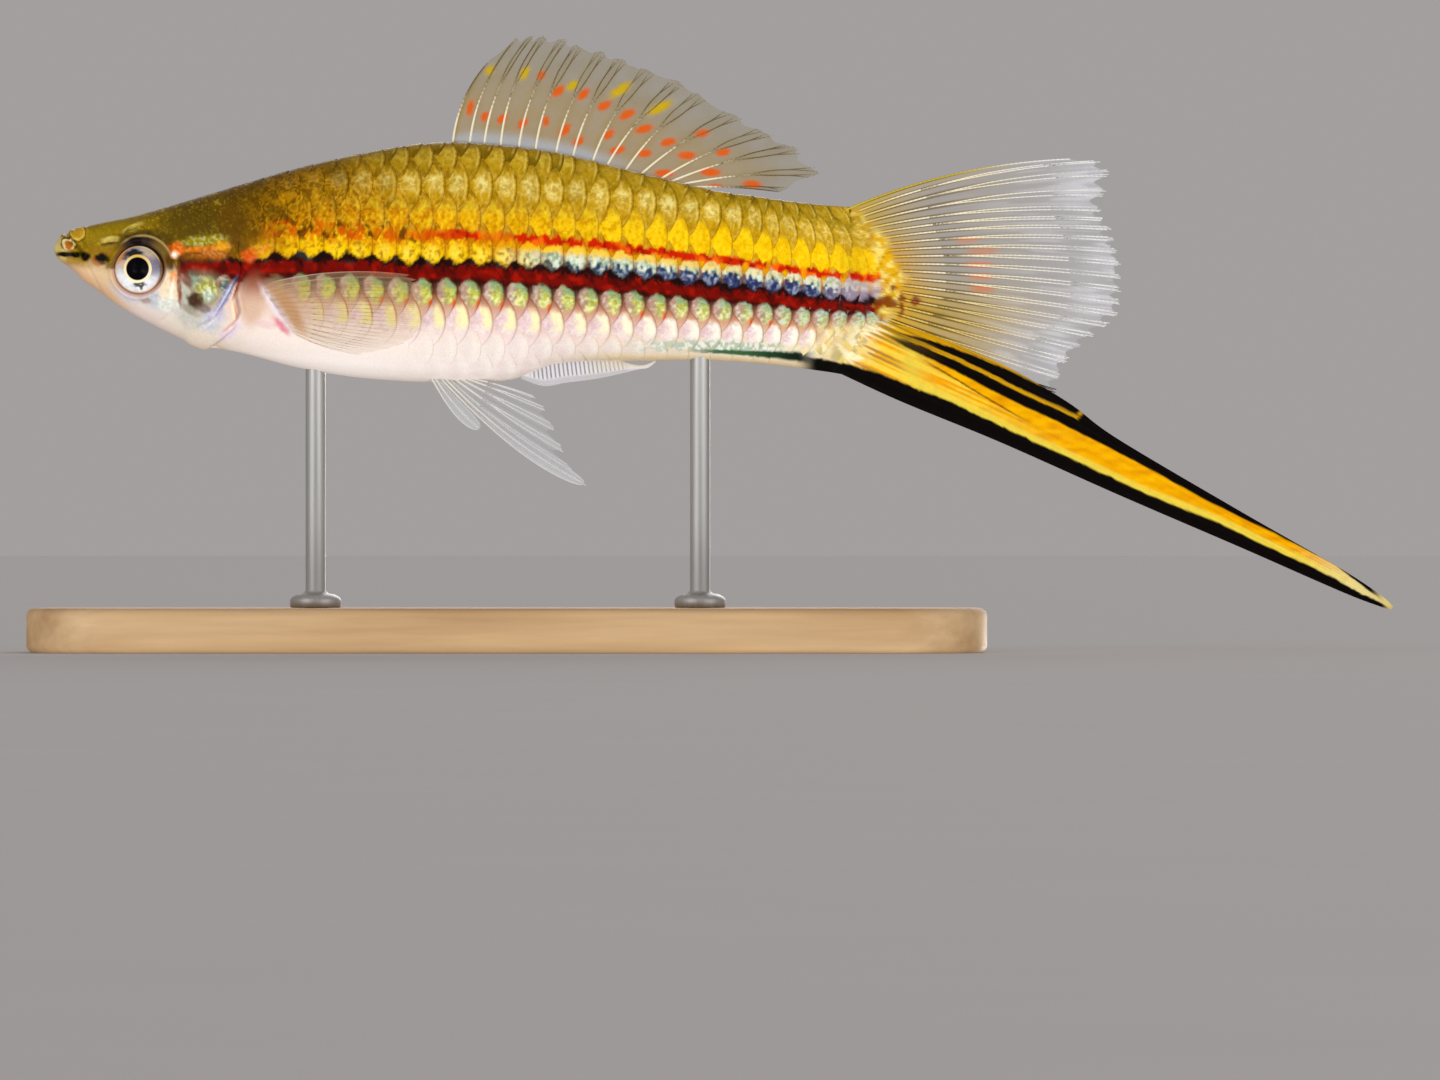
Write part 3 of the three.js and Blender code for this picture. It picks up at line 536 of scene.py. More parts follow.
def stripes(colour, x, row, number, back):
    """The red line, and the dark band with black scallops over it."""
    bead = 0.5 + 0.5 * np.cos(2 * np.pi * back / SCALE_PITCH)
    high = row * ROW_MM
    coarse = noise(x * 1.3, high * 1.3, 1)
    ragged = 0.12 * (noise(x * 2.6, high * 2.6, 1) - 0.5) + 0.08 * (noise(x * 6, high * 6, 2) - 0.5)
    # Small orange marks between the first two rows below the band
    mark = (number == -1) * smooth(-0.9, -1.1, row) * smooth(0.5, 0.2, bead) * smooth(-1.5, -1.3, row)
    colour = mix(colour, ORANGE, mark * 0.9 * (noise(x * 0.55, row, 4) > 0.38) * smooth(25, 29, x))
    # The red line: broken orange dabs in front, one beaded line behind, loose dots at its end
    half = 0.16 - 0.05 * bead
    line = smooth(half + 0.05, half - 0.03, np.abs(row + ragged - 1.1))
    gap = smooth(0.14, 0.28, noise(x * 0.9 + 3, row, 5)) + 0.5
    fade = smooth(28, 38, x) * np.minimum(gap, 1) * smooth(75.2, 74.2, x)
    tint = mix(RED_LINE, rgb(168, 12, 0), smooth(0.55, 0.8, noise(x * 2.2, row * 5, 6)))
    tint = mix(tint, rgb(246, 104, 6), smooth(0.42, 0.15, noise(x * 1.8, row * 4, 7)))
    colour = mix(colour, tint, line * fade)
    dabs = smooth(0.3, 0.12, np.abs(row + 2.5 * ragged - 1.1)) * smooth(18, 22, x) * smooth(38, 31, x)
    where = 0.6 * noise(x * 1.3, row * 1.2, 8) + 0.4 * noise(x * 3.4, row * 8, 9)
    colour = mix(colour, rgb(214, 74, 0), dabs * smooth(0.52, 0.64, where) * 0.65)
    colour = mix(colour, rgb(66, 32, 2), dabs * smooth(0.44, 0.34, where) * 0.8)
    # The dark band, with black between the bright scales over it and brown between those under it
    thin = np.interp(x, [10, 13, 22, 36, 60, 75], [0.8, 1.1, 1.05, 1, 0.95, 0.9])
    above = np.where(number >= 0, 0.42 - 0.2 * bead, 0.32) * thin
    below = np.where(number < 0, -0.44 + 0.18 * bead, -0.32) * thin
    inside = smooth(above + 0.05, above - 0.05, row + ragged)
    inside = inside * smooth(below - 0.06, below + 0.04, row + ragged)
    red = mix(DARK_RED, BRIGHT_RED, smooth(0.45, 0.8, noise(x * 1.9, high * 2.6, 9)))
    red = mix(red, rgb(64, 6, 2), smooth(0.45, 0.2, coarse) * 0.75)
    top = smooth(0.08, 0.2, row + ragged * 1.5 + 0.05 * bead - 0.05 * coarse)
    low = smooth(-0.2, -0.34, row + ragged)
    dark = mix(BLACK, rgb(30, 50, 50), smooth(0.6, 0.8, coarse) * smooth(46, 38, x))
    colour = mix(colour, mix(mix(red, dark, top * 0.95), rgb(40, 12, 6), low * 0.8),
                 inside * smooth(10.9, 11.6, x) * smooth(75.4, 74.2, x))
    return colour


LOW_BAND_TOP = [(66.5, -9.55), (68.9, -9.75), (71.5, -10.3), (74.1, -11.1), (80.7, -13.7),
                (86.8, -16.6), (92.2, -19.1), (98.4, -22.0), (103.7, -24.1), (109.9, -27.0),
                (115.3, -29.6), (118, -31.1), (120.5, -32.4)]


def lower_edge(colour, x, z):
    """The pale keel behind the vent, and the dark line above it that runs into the sword."""
    over = z - along(BELLY, x)
    cloud = noise(x * 1.6, z * 2.2, 5)
    speck = noise(x * 4.5, z * 4.5, 9)
    keel = smooth(1.2, 0.5, over + 0.5 * (cloud - 0.5)) * smooth(44, 52, x) * smooth(69, 66, x)
    cream = mix(rgb(238, 222, 192), rgb(222, 202, 158), smooth(0.6, 0.1, over))
    colour = mix(colour, cream, keel * 0.85)
    teal = smooth(0.75, 0.2, np.abs(over - 1.4 + 0.6 * (cloud - 0.5)))
    teal = teal * smooth(50, 58, x) * smooth(68, 64, x)
    mint = mix(rgb(146, 184, 158), rgb(236, 244, 236), smooth(0.45, 0.65, speck))
    colour = mix(colour, mint, teal * 0.7)
    yellow = smooth(66.5, 71, x - 0.5 * (z + 10)) * smooth(-6.3, -7.2, z)
    up_lines = smooth(0.42, 0.62, noise(2.4 * (x + 0.7 * z), 0.7 * (0.7 * x - z), 2))
    down_lines = smooth(0.42, 0.62, noise(2.4 * (x - 0.8 * z), 0.7 * (0.8 * x + z), 3))
    hatch = mix(rgb(250, 242, 196), rgb(238, 200, 52), up_lines * 0.8)
    hatch = mix(hatch, rgb(166, 150, 92), down_lines * up_lines * 0.7)
    hatch = mix(hatch, rgb(248, 236, 150), down_lines * (1 - up_lines) * 0.7)
    colour = mix(colour, hatch, yellow * 0.85)
    ragged = 0.25 * (noise(x * 3, z * 3, 3) - 0.5)
    width = np.interp(x, [57, 62, 66, 68], [0.12, 0.2, 0.34, 0.5])
    line = smooth(width * 1.6, width * 0.6, np.abs(over - 0.85 + ragged * 0.5)) * smooth(56, 60, x)
    green = mix(rgb(60, 110, 70), rgb(16, 34, 20), smooth(60, 67, x))
    colour = mix(colour, green, line * smooth(69, 67, x))
    below = smooth(0.12, -0.12, z + ragged - on_line(LOW_BAND_TOP, x))
    return mix(colour, rgb(10, 10, 8), below * smooth(66.5, 68.5, x))


# Marks of the head, as centre, radii, tilt in degrees, colour, strength and share of glitter
HEAD_MARKS = [
    # Cheek, throat and chin
    ((9.6, -4.9), (3.2, 2.6), -20, (240, 226, 220), 0.85, 0.0),
    ((9.2, -4.6), (2.0, 0.75), -24, (190, 210, 226), 0.65, 0.5),
    ((8.3, -4.55), (0.42, 0.3), 0, (176, 110, 96), 0.6, 0.0),
    ((6.2, -3.9), (1.6, 0.5), -36, (206, 214, 224), 0.5, 0.2),
    ((4.6, -2.2), (1.7, 0.8), -32, (226, 200, 160), 0.6, 0.0),
    ((13.4, -7.2), (3.4, 1.5), -12, (240, 230, 214), 0.85, 0.1),
    ((12.6, -5.6), (1.6, 1.3), 0, (202, 204, 196), 0.8, 0.2),
    ((6.6, -4.15), (0.9, 0.28), -20, (226, 220, 240), 0.7, 0.3),
    ((14.4, -6.2), (1.3, 0.9), 40, (206, 214, 236), 0.7, 0.3),
    # Gill cover
    ((13.3, -3.8), (2.0, 1.7), 0, (140, 138, 104), 0.85, 0.2),
    ((11.95, -3.9), (0.35, 1.5), 0, (204, 206, 188), 0.8, 0.2),
    ((12.7, -2.9), (0.7, 0.45), 0, (106, 150, 140), 0.7, 0.7),
    ((13.85, -3.55), (0.95, 0.95), -20, (208, 208, 90), 0.9, 1.0),
    ((14.0, -4.1), (0.5, 0.55), 0, (226, 246, 226), 0.85, 0.9),
    ((12.85, -4.5), (0.72, 0.66), 10, (70, 46, 28), 0.95, 0.1),
    ((13.6, -5.25), (0.75, 0.34), -20, (112, 84, 84), 0.75, 0.1),
    ((12.3, -5.4), (0.9, 0.3), -30, (150, 138, 116), 0.6, 0.2),
    ((15.45, -3.2), (0.45, 0.62), -10, (104, 134, 128), 0.9, 1.0),
    ((14.9, -3.0), (0.3, 0.4), 0, (120, 66, 30), 0.6, 0.1),
    ((15.5, -4.3), (0.32, 1.8), -30, (158, 160, 214), 0.85, 0.7),
    ((14.6, -5.9), (0.9, 0.5), 30, (206, 196, 226), 0.7, 0.4),
    # Blue lines down the gill cover, with thin white painted highlights beside them
    ((16.2, -3.25), (0.09, 1.05), -34, (48, 44, 84), 0.9, 0.0),
    ((15.6, -4.4), (0.07, 1.2), -30, (84, 88, 160), 0.8, 0.0),
    ((15.5, -4.3), (0.08, 1.4), -30, (238, 242, 250), 0.85, 0.0),
    ((15.2, -4.9), (0.07, 1.2), -32, (110, 112, 176), 0.75, 0.0),
    ((14.85, -5.3), (0.07, 0.9), -36, (240, 244, 250), 0.7, 0.0),
    ((14.3, -6.4), (0.07, 0.8), -52, (250, 250, 244), 0.7, 0.0),
    ((13.6, -6.5), (0.06, 0.9), -64, (170, 164, 150), 0.6, 0.0),
    ((16.55, -3.5), (0.1, 1.0), -22, (150, 44, 20), 0.8, 0.0),
    ((16.2, -4.0), (0.07, 0.9), -20, (250, 224, 200), 0.8, 0.0),
    ((16.4, -5.4), (0.1, 0.7), 14, (240, 132, 50), 0.85, 0.0),
    ((16.25, -5.5), (0.14, 0.95), 8, (255, 240, 210), 0.9, 0.2),
    ((15.9, -7.4), (0.62, 1.25), -48, (242, 224, 242), 0.9, 0.1),
    ((15.9, -6.75), (0.1, 0.85), -50, (232, 150, 90), 0.7, 0.0),
    ((16.1, -7.0), (0.12, 1.0), -44, (255, 248, 250), 0.8, 0.0),
    # Bright patch and brown edge behind the eye
    ((10.5, -3.6), (0.8, 1.75), -10, (252, 232, 190), 0.9, 0.3),
    ((10.85, -2.5), (0.3, 0.6), -10, (250, 150, 60), 0.8, 0.4),
    ((10.7, -3.7), (0.12, 1.1), -8, (255, 255, 244), 0.8, 0.0),
    ((10.3, -4.9), (0.9, 0.7), 0, (244, 250, 240), 0.8, 0.4),
    ((11.35, -3.3), (0.2, 1.75), 2, (132, 56, 22), 0.85, 0.0),
    ((11.9, -2.55), (0.42, 1.0), 34, (120, 40, 12), 0.75, 0.0),
    # Olive top of the head and nape
    ((12.4, 2.2), (2.6, 1.5), 12, (84, 66, 6), 0.7, 0.15),
    ((16.2, 1.9), (1.5, 2.4), 0, (92, 60, 4), 0.65, 0.1),
    ((13.5, 0.75), (2.1, 0.45), 6, (190, 176, 30), 0.75, 0.9),
    # Painted shade in the socket above the eye
    ((8.0, 0.75), (2.5, 1.0), 0, (54, 36, 8), 0.85, 0.0),
    ((10.6, -0.6), (0.45, 1.3), 0, (70, 34, 10), 0.8, 0.0),
    ((13.4, -0.6), (2.4, 0.5), 0, (122, 66, 4), 0.85, 0.2),
    ((13.9, -0.55), (1.5, 0.2), 4, (196, 116, 10), 0.7, 0.5),
    ((13.3, 0.0), (2.5, 0.24), 5, (240, 128, 8), 0.9, 0.5),
    ((15.2, 0.25), (0.7, 0.5), 0, (248, 170, 10), 0.85, 0.5),
    ((17.7, -0.55), (0.7, 0.6), 20, (240, 92, 4), 0.8, 0.4),
    ((18.9, -0.1), (1.0, 0.5), 20, (236, 140, 8), 0.7, 0.6),
    ((11.15, 0.05), (0.66, 0.6), 0, (240, 112, 14), 0.95, 0.5),
    ((11.0, -0.5), (0.42, 0.36), -16, (255, 196, 140), 0.95, 0.4),
    ((10.93, -0.52), (0.2, 0.2), 0, (255, 250, 240), 0.95, 0.0),
    ((14.6, -0.45), (1.1, 0.4), -8, (206, 112, 6), 0.8, 0.6),
    # Snout
    ((5.0, 1.8), (2.8, 0.7), 15, (152, 126, 10), 0.7, 0.1),
    # Nostrils: a pale rim over each, and painted shade in the pit below it
    ((7.15, 2.0), (0.95, 0.24), 26, (204, 184, 84), 0.8, 0.0),
    ((7.0, 1.78), (0.7, 0.12), 26, (84, 60, 6), 0.8, 0.0),
    ((5.15, 0.86), (0.8, 0.3), 10, (214, 194, 100), 0.85, 0.0),
    ((5.05, 0.52), (0.8, 0.17), 8, (92, 56, 4), 0.85, 0.0),
    ((4.3, -0.2), (1.5, 0.35), -8, (150, 106, 20), 0.6, 0.0),
    ((3.95, -1.05), (0.5, 0.4), -20, (176, 88, 22), 0.8, 0.0),
    ((4.4, -0.8), (0.66, 0.46), -14, (10, 5, 2), 1.1, 0.0),
    ((5.05, -1.5), (0.4, 0.26), 20, (120, 82, 40), 0.7, 0.0),
    ((2.9, -0.6), (0.46, 0.4), -10, (20, 8, 2), 1.05, 0.0),
    ((2.3, 1.35), (0.85, 0.6), 34, (206, 160, 34), 0.85, 0.0),
    ((0.55, 0.1), (0.6, 1.2), 10, (220, 198, 120), 0.85, 0.0),
    ((1.15, -0.42), (1.0, 0.22), -2, (20, 12, 2), 1.1, 0.0),
    ((1.95, -0.42), (0.5, 0.28), -6, (12, 8, 2), 1.1, 0.0),
    ((1.38, 0.3), (0.36, 0.26), -20, (186, 96, 30), 0.9, 0.0),
]
# Rings of the nostrils, as centre, radius, width, colour and strength
HEAD_RINGS = [((1.42, 0.42), 0.62, 0.1, (54, 32, 8), 0.8),
              ((1.42, 0.42), 0.44, 0.11, (246, 226, 166), 0.9),
              ((2.2, 1.38), 0.74, 0.09, (66, 42, 6), 0.75),
              ((2.2, 1.38), 0.56, 0.08, (236, 206, 110), 0.6)]


def head_ground(colour, x, z):
    """Plain colour of the head: pinkish cream below, olive above."""
    line = np.interp(x, [0, 2, 4, 5.5, 10, 12.5, 17], [-0.7, -1.1, -1.5, -1.8, -2.1, -1.6, -1.6])
    above = smooth(-0.75, 0.55, z - line)
    skin = mix(rgb(240, 216, 194), rgb(230, 190, 148), smooth(9.5, 4, x))
    skin = mix(skin, rgb(204, 160, 100), smooth(0, 0.5, above) * smooth(12, 7, x))
    skin = mix(skin, rgb(140, 112, 10), above)
    skin = mix(skin, rgb(96, 66, 4), 0.8 * above * smooth(6, 13, x))
    mottle = noise(x * 3.2, z * 3.2, 7) + 0.5 * noise(x * 8, z * 8, 2) - 0.75
    skin = shaded(skin, 1 + 0.42 * mottle * above)
    fleck = smooth(0.7, 0.85, noise(x * 6.5, z * 6.5, 4)) * above
    skin = mix(skin, rgb(206, 184, 50), fleck * 0.4)
    reach = np.where(z > line, 21.5, 16.0)
    wander = 3 * (noise(x * 0.8, z * 0.8, 9) - 0.5) + 1.2 * (noise(x * 2.6, z * 2.6, 3) - 0.5)
    return mix(colour, skin, smooth(reach, 13.5, x + wander))


def head_marks(colour, x, z):
    wander = 0.3 * (noise(x * 3, z * 3, 11) - 0.5)
    speck = noise(x * 5.5, z * 5.5, 12)
    uneven = 0.85 + 0.3 * noise(x * 3.5, z * 3.5, 14)
    for centre, radii, tilt, tone, strength, glitter in HEAD_MARKS:
        mark = rgb(*tone)
        ragged = wander * min(1.0, 2 * min(radii))
        share = spot(x + ragged, z - ragged, centre, radii, tilt, soft=0.8)
        tint = mix(mark * (1 - 0.5 * glitter), mark * 0.4 + rgb(255, 252, 214) * 0.6,
                   glitter * smooth(0.5, 0.72, speck))
        tint = mix(tint, mark, smooth(0.3, 0.55, speck) * (1 - 0.5 * glitter))
        colour = mix(colour, tint, np.clip(share * strength * uneven, 0, 1))
    for centre, radius, width, tone, strength in HEAD_RINGS:
        away = np.hypot(x - centre[0], z - centre[1]) + 0.1 * (noise(x * 3, z * 3, 11) - 0.5)
        ring = smooth(width, width * 0.3, np.abs(away - radius))
        colour = mix(colour, rgb(*tone), ring * strength * smooth(-0.1, 0.2, z))
    # The lid of the eye: a slate crescent of painted shade over it with a tan edge, brown behind, pink
    # below
    from_eye = np.hypot(x - EYE_X, z - EYE_Z) - EYE_RADIUS
    angle = np.degrees(np.arctan2(z - EYE_Z, x - EYE_X))
    lid = smooth(0.3, 0.12, from_eye)
    colour = mix(colour, mix(rgb(200, 156, 140), rgb(116, 76, 44), smooth(-70, 30, angle)), lid * 0.8)
    from_lid = np.hypot(x - 8.05, z + 1.5) - 2.6
    reach = smooth(14, 36, angle) * smooth(134, 112, angle)
    colour = mix(colour, rgb(190, 160, 96), smooth(0.16, 0.05, np.abs(from_lid - 0.12)) * reach * 0.7)
    lid_shade = mix(rgb(112, 88, 40), rgb(46, 36, 34), smooth(48, 74, angle))
    colour = mix(colour, lid_shade, smooth(0.08, -0.08, from_lid) * reach * 0.92)
    # A black spot of painted shadow in the socket just above the eye
    return mix(colour, rgb(14, 8, 6), spot(x, z, (7.45, 0.78), (0.62, 0.34), -6, 0.8) * 0.9)


SHOULDER_SPOTS = [((21.2, -5.4), (0.7, 2.3), 32, 0.8, (206, 150, 104), 0.85),
                  ((20.3, -5.6), (0.4, 2.5), 35, 0.9, (244, 232, 240), 0.95),
                  ((20.1, -5.1), (0.1, 1.7), 33, 0.9, (132, 140, 190), 0.6),
                  ((20.5, -6.9), (0.3, 1.0), 40, 0.9, (226, 112, 136), 0.85),
                  ((19.2, -6.8), (1.0, 0.35), -8, 0.9, (236, 200, 206), 0.6)]


def shoulder(colour, x, z):
    """The shoulder behind the gill cover, with the pink edge that the pectoral fin grows from."""
    tan = mix(rgb(150, 84, 60), rgb(220, 184, 158), smooth(-2.8, -5.2, z))
    colour = mix(colour, tan, spot(x, z, (18.0, -4.6), (1.1, 2.3), -8, 0.8) * 0.85)
    colour = with_spots(colour, x, z, SHOULDER_SPOTS)
    # Painted shade along the lower part of the gill slit
    opening = distance_to_line(x, z, GILL_OPENING)
    slit_shade = smooth(0.28, 0.04, np.abs(opening + 0.05)) * smooth(-2.6, -3.4, z) * smooth(-8.6, -7.2, z)
    return mix(colour, rgb(150, 90, 70), slit_shade * 0.45)


def body_colour(x, z, row, number, back, up, tone):
    colour = ground_colour(x, row)
    # Nape: dark slanting streaks and golden curls on brown, denser towards the rear and the band
    high = row * ROW_MM
    wander = 6 * (noise(x * 0.5, high * 0.5, 4) - 0.5)
    streaks = smooth(0.52, 0.7, noise(x * 0.55 + high * 0.25, high * 0.3, 12)) * smooth(1.0, 1.6, row)
    colour = mix(colour, rgb(74, 50, 2), streaks * 0.6 * smooth(38, 24, x) * smooth(11, 16, x))
    curled = np.maximum(curls(x, high, 0.42, 8), 0.8 * curls(x + 3, high, 0.7, 12))
    flecks = smooth(0.66, 0.82, noise(x * 6, high * 6, 5))
    golden = (0.8 * curled + 0.7 * flecks) * smooth(11, 25, x + wander) * smooth(46, 34, x)
    golden = golden * smooth(0.9, 1.2, row) * np.interp(row, [1, 2, 3.6], [1.0, 0.7, 0.25])
    colour = mix(colour, rgb(232, 166, 4), golden * (0.9 - 0.6 * streaks))
    colour = scale_blobs(colour, x, row, number, back, up, tone)
    colour = head_ground(colour, x, z)
    colour = stripes(colour, x, row, number, back)
    colour = lower_edge(colour, x, z)
    colour = shoulder(colour, x, z)
    return head_marks(colour, x, z)


def hump(distance, width):
    """1 on a line and 0 well away from it."""
    return np.exp(-((distance / width) ** 2))


def head_relief(x, z, y):
    """How far the skin stands out from the bare body on the head, in mm."""
    mouth = distance_to_line(x, z, MOUTH)
    groove = np.interp(z, [0.2, 1.0, 1.5], [0.34, 0.16, 0.03])
    out = 0.2 * hump(np.abs(mouth) - 0.45, 0.28) - groove * hump(mouth, 0.13)
    out -= 0.06 * hump(distance_to_line(x, z, JAW_CREASE), 0.14)
    out += 0.2 * spot(x, z, (2.3, 1.3), (0.8, 0.6), 40, 1.2)
    out += 0.1 * spot(x, z, (0.9, 0.6), (0.9, 0.7), 50, 1.2)
    for centre, size in (((5.2, 0.8), 0.62), ((7.1, 1.95), 0.55)):
        out += 0.1 * spot(x, z, centre, (size * 1.5, size * 0.75), 16, 0.8)
        out -= 0.3 * spot(x, z, centre, (size * 0.8, size * 0.26), 16, 0.6)
    from_eye = np.hypot(x - EYE_X, z - EYE_Z)
    out += 0.16 * hump(from_eye - EYE_RADIUS - 0.3, 0.22)
    out -= 1.1 * smooth(EYE_RADIUS + 0.12, EYE_RADIUS - 0.25, from_eye)
    out -= 0.07 * hump(distance_to_line(x, z, PREOPERCLE), 0.16)
    opening = distance_to_line(x, z, GILL_OPENING)
    cover = smooth(11.4, 12.4, x) * smooth(0.6, -0.6, z)
    reach = smooth(1.4, 0.2, z)
    out += reach * cover * 0.2 * smooth(0.06, -0.16, opening)
    out -= reach * 0.22 * hump(opening - 0.22, 0.3) * (opening > -0.1)
    return out * np.minimum(np.abs(y) / 0.3, 1)


flank = Flank()
SKIN_AROUND = 280
HEAD_STEP = 0.1
BODY_STEP = 0.42
# How far the skin lies lower where scales cover it, in mm
SKIN_SINK = 0.07
HEAD_END = 18.5
HEAD_SHARE_OF_MAP = 0.56


def build_skin():
    nose = NOSE_RADIUS * (1 - np.cos(np.radians(np.arange(3, 90, 5.5))))
    stations = np.concatenate([nose, np.arange(NOSE_RADIUS, HEAD_END, HEAD_STEP),
                               np.arange(HEAD_END, BODY_LENGTH, BODY_STEP), [BODY_LENGTH]])
    turn = np.radians(-90 + np.arange(SKIN_AROUND) * 360 / SKIN_AROUND)
    folded = np.where(turn > np.pi / 2, np.pi - turn, turn)
    grid = body_point(stations[:, None], turn[None, :])
    closed = np.concatenate([grid, grid[:, :1]], axis=1)
    normal = -grid_normals(closed)[:, :-1]
    row = np.stack([flank.row_at(x, folded) for x in stations])
    x, z = grid[..., 0], grid[..., 2]
    out = np.where(x < 20, head_relief(x, z, grid[..., 1]), 0)
    scaled = smooth(16.5, 18.5, x) * smooth(-3.9, -3.4, row) * smooth(74.8, 73.5, x)
    grid = grid + normal * (out - SKIN_SINK * scaled)[..., None]
    paint = body_colour(x, z, row, *cell_of(x, row), 0.5)
    tips = np.array([[0, 0, 0], grid[-1].mean(axis=0)])
    points = np.concatenate([grid.reshape(-1, 3), tips])
    paint = np.concatenate([paint.reshape(-1, 3), paint[0, :1], paint[-1, :1]])

    # Faces, with the bake map's place of each corner: along the body, and once round it
    columns = len(stations)
    along_map = np.interp(stations, [0, HEAD_END, BODY_LENGTH], [0.02, HEAD_SHARE_OF_MAP, 0.98])
    around_map = np.linspace(0.01, 0.99, SKIN_AROUND + 1)
    c, k = [index.ravel() for index in np.meshgrid(np.arange(columns - 1), np.arange(SKIN_AROUND),
                                                   indexing="ij")]
    corner_column = np.stack([c, c, c + 1, c + 1], axis=1)
    corner_step = np.stack([k, k + 1, k + 1, k], axis=1)
    quads = corner_column * SKIN_AROUND + corner_step % SKIN_AROUND
    quad_map = np.stack([along_map[corner_column], around_map[corner_step]], axis=-1)
    triangles, corners = [halves(quads)], [halves(quad_map)]
    k = np.arange(SKIN_AROUND)
    last = (columns - 1) * SKIN_AROUND
    middle = (around_map[:-1] + around_map[1:]) / 2
    # A fan at each end: number of its tip, its ring, and the places along the map of both
    for tip, ring, turned_over, tip_at, ring_at in ((len(points) - 2, 0, True, 0.005, 0.02),
                                                    (len(points) - 1, last, False, 0.995, 0.98)):
        steps = [k + 1, k] if turned_over else [k, k + 1]
        triangles.append(np.stack([np.full_like(k, tip)] + [ring + step % SKIN_AROUND for step in steps],
                                  axis=1))
        places = [(tip_at, middle)] + [(ring_at, around_map[step]) for step in steps]
        corners.append(np.stack([np.stack([np.full_like(middle, at), around], axis=1)
                                 for at, around in places], axis=1))
    return mesh_object("skin", points, np.concatenate(triangles)[:, ::-1], paint,
                       np.concatenate(corners)[:, ::-1])


SCALE_ACROSS = 36
SCALE_DOWN = 26
FIRST_COLUMN, LAST_COLUMN = -8, 27
COLUMNS_IN_CELL = 4
SCALE_ROWS = {"crest": [4], "back": [3, 2], "upper_flank": [1, 0], "lower_flank": [-1, -2],
              "belly": [-3, -4]}
FIRST_SCALE_X = {4: 18, 3: 16, 2: 15, 1: 15, 0: 17, -1: 20.5, -2: 22, -3: 31, -4: 37}
LAST_SCALE_X = {4: 74, 3: 74, 2: 74, 1: 74, 0: 74, -1: 74, -2: 71.5, -3: 64, -4: 50}
# How far past the back and belly a row's middle may lie, in rows
ROW_OVERHANG = 0.35
# How far each row's scales stand up, and how deep the painted shade along their rims is
FIRMNESS = {4: 0.2, 3: 0.25, 2: 0.3, 1: 0.25, 0: 0.25, -1: 0.7, -2: 0.6, -3: 0.15, -4: 0.08}


def scale_plate(top, foot, patch):
    """A closed scale: a finely divided top, a plain underside, and a patch of the bake map for each."""
    columns, rows = top.shape[:2]
    rim = grid_rim(columns, rows)
    under = foot.reshape(-1, 3)[rim]
    points = np.concatenate([top.reshape(-1, 3), under, foot[columns // 2, rows // 2][None]])
    face = grid_faces(columns, rows)
    k = np.arange(len(rim))
    after = np.roll(k, -1)
    first = columns * rows
    wall = np.stack([rim[after], rim[k], first + k, first + after], axis=1)
    fan = np.stack([np.full_like(k, first + len(rim)), first + after, first + k], axis=1)
    # The top takes most of the patch; the wall and the underside lie as a ring and its middle beside it
    flat = patch.reshape(-1, 2)
    ring = flat[rim]
    size, corner, middle = [0.22, 0.96], [0.76, 0.02], np.array([0.87, 0.5])
    outer = ring * size + corner
    inner = (0.5 + (ring - 0.5) * 0.7) * size + corner
    face_map = (flat * [0.72, 1])[face]
    wall_map = np.stack([outer[after], outer[k], inner[k], inner[after]], axis=1)
    fan_map = np.stack([np.broadcast_to(middle, ring.shape), inner[after], inner[k]], axis=1)
    return (points, np.concatenate([halves(face), halves(wall), fan]),
            np.concatenate([halves(face_map), halves(wall_map), fan_map]), rim)


